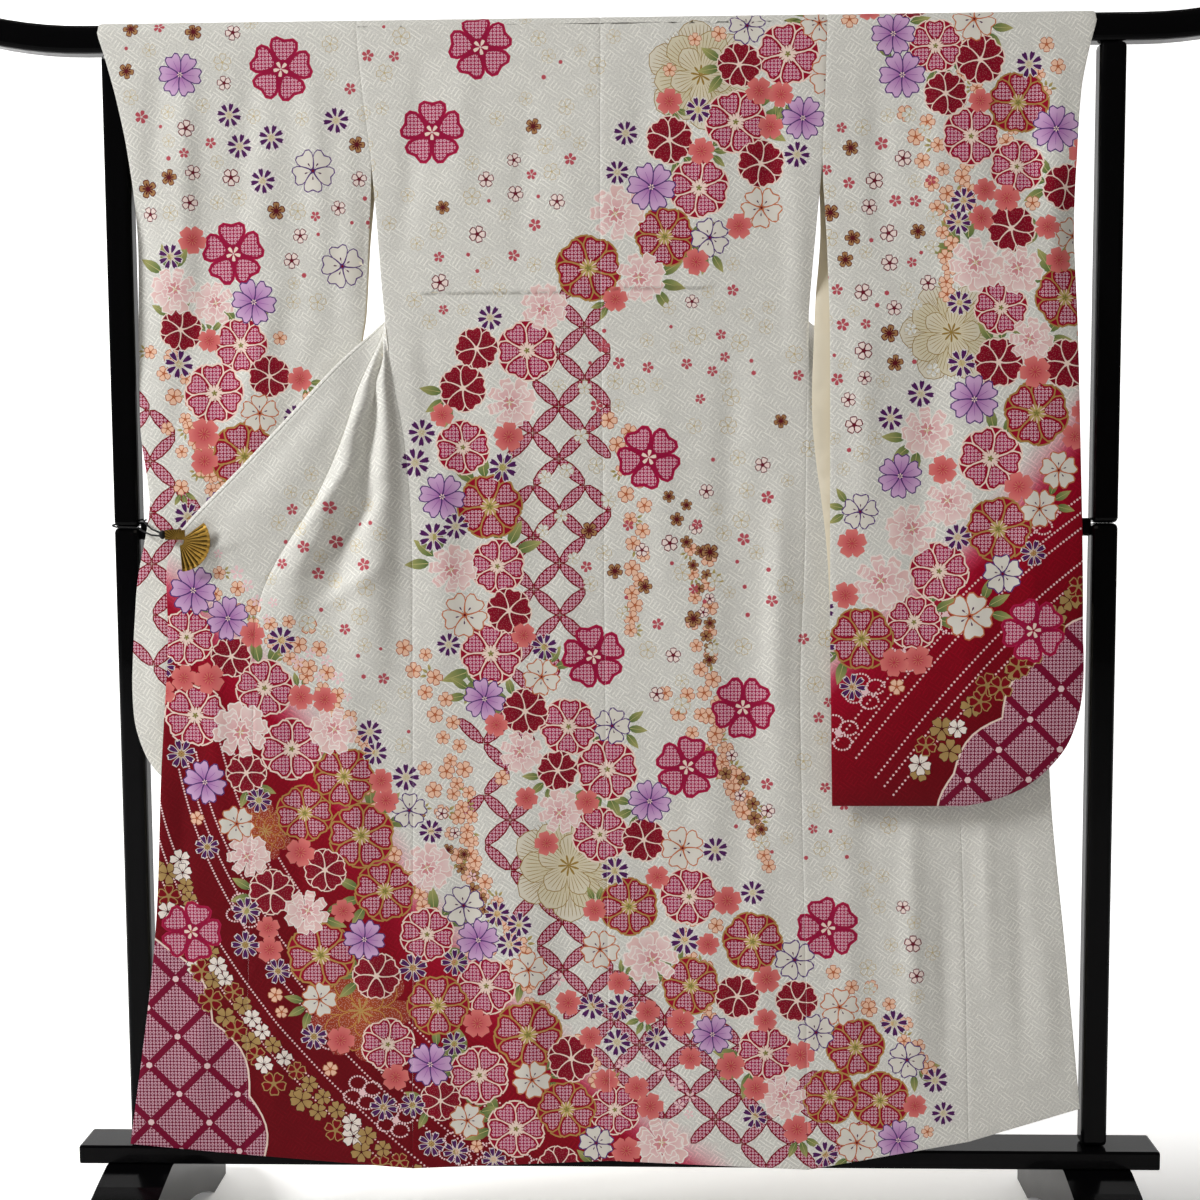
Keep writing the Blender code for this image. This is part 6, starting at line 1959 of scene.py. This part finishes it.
# The paper sweep: its floor runs from front to back and curves up into the backdrop. Behind the
# stand it glows, so that it stays pale.
SWEEP_FRONT = -7.0
SWEEP_BACK = 2.2
SWEEP_RADIUS = 1.4
SWEEP_TOP = 6.0
SWEEP_HALF = 7.0
SWEEP_STEPS = 12
GLOW_FROM = 0.05
GLOW_FULL = 0.45
GLOW = 0.62
SURROUNDINGS = 0.85      # brightness of what the camera sees beside the paper


def paper_material(floor_colour):
    """Seamless studio paper: matt and near white, with a faint unevenness."""
    made, shader, node = new_material("seamless_paper", {
        "Roughness": 0.9, "Specular IOR Level": 0.1, "Emission Color": linear("ffffff"),
    })
    place = node("TexCoord").outputs["Object"]
    tooth = node("TexNoise", {"Vector": place, "Scale": 3.0})
    tone = node("Mix", {0: tooth, 6: (*floor_colour, 1.0), 7: linear("fafafa")}, data_type="RGBA")
    depth = node("SeparateXYZ", {0: place}).outputs["Y"]
    glow = node("MapRange", {0: depth, 1: GLOW_FROM, 2: GLOW_FULL, 3: 0.0, 4: GLOW})
    feed(shader, {"Base Color": tone.outputs[2], "Emission Strength": glow})
    return made


def paper_sweep(material):
    """Floor and backdrop in one sheet."""
    profile = [(SWEEP_FRONT, 0.0), (SWEEP_BACK, 0.0)]
    for k in range(1, SWEEP_STEPS + 1):
        angle = math.pi / 2 * k / SWEEP_STEPS
        profile.append((SWEEP_BACK + SWEEP_RADIUS * math.sin(angle), SWEEP_RADIUS * (1 - math.cos(angle))))
    profile.append((SWEEP_BACK + SWEEP_RADIUS, SWEEP_TOP))
    mesh = bpy.data.meshes.new("sweep")
    points = [(x, y, z) for y, z in profile for x in (-SWEEP_HALF, SWEEP_HALF)]
    faces = [(2 * k, 2 * k + 1, 2 * k + 3, 2 * k + 2) for k in range(len(profile) - 1)]
    mesh.from_pydata(points, [], faces)
    mesh.shade_smooth()
    mesh.materials.append(material)
    return placed("sweep", mesh)


def daylight(strength):
    """Even light all round, brighter where the camera sees it beside the paper."""
    world = bpy.data.worlds.new("daylight")
    world.use_nodes = True
    tree = world.node_tree
    seen = add(tree, "LightPath").outputs["Is Camera Ray"]
    shown = add(tree, "MapRange", {0: seen, 3: strength, 4: SURROUNDINGS})
    feed(tree.nodes["Background"], {"Color": linear("fff8ee"), "Strength": shown})
    return world


class FURISODE_OT_studio(bpy.types.Operator):
    """Set up the pale floor, the backdrop, the lights and the camera"""
    bl_idname = "furisode.studio"
    bl_label = "Studio"

    def execute(self, context):
        scene = context.scene
        settings = scene.furisode_studio
        sweep = paper_sweep(paper_material(settings.floor_colour))
        scene.world = daylight(settings.daylight)
        for lamp in LAMPS:
            hang_lamp(lamp, settings.key_power)
        lens = bpy.data.cameras.new("camera")
        lens.sensor_fit = "HORIZONTAL"
        lens.sensor_width = 36.0
        lens.lens = CAMERA_LENS
        scene.camera = placed("camera", lens)
        scene.camera.matrix_world = camera_matrix()
        scene.view_settings.view_transform = "Standard"
        return {"FINISHED"}


class FURISODE_PT_panel(bpy.types.Panel):
    """Lists the garment's sizes and the steps that make it"""
    bl_idname = "FURISODE_PT_panel"
    bl_label = "Furisode"
    bl_space_type = "VIEW_3D"
    bl_region_type = "UI"
    bl_category = "Furisode"

    def draw(self, context):
        scene = context.scene
        for group in (scene.furisode_cloth, scene.furisode_studio):
            for key in group.bl_rna.properties.keys():
                if key not in ("rna_type", "name"):
                    self.layout.prop(group, key)
        for step in STEPS:
            self.layout.operator(step.bl_idname)


STEPS = (FURISODE_OT_studio, FURISODE_OT_stand, FURISODE_OT_body, FURISODE_OT_sleeves, FURISODE_OT_collar)
GROUPS = (FurisodeCloth, FurisodeStudio)


def register():
    for item in GROUPS + STEPS + (FURISODE_PT_panel,):
        bpy.utils.register_class(item)
    bpy.types.Scene.furisode_cloth = bpy.props.PointerProperty(type=FurisodeCloth)
    bpy.types.Scene.furisode_studio = bpy.props.PointerProperty(type=FurisodeStudio)


def unregister():
    del bpy.types.Scene.furisode_studio
    del bpy.types.Scene.furisode_cloth
    for item in reversed(GROUPS + STEPS + (FURISODE_PT_panel,)):
        bpy.utils.unregister_class(item)


def main():
    """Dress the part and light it."""
    register()
    bpy.ops.furisode.studio()
    bpy.ops.furisode.stand()
    bpy.ops.furisode.body()
    bpy.ops.furisode.sleeves()
    bpy.ops.furisode.collar()


if __name__ == "__main__":
    main()
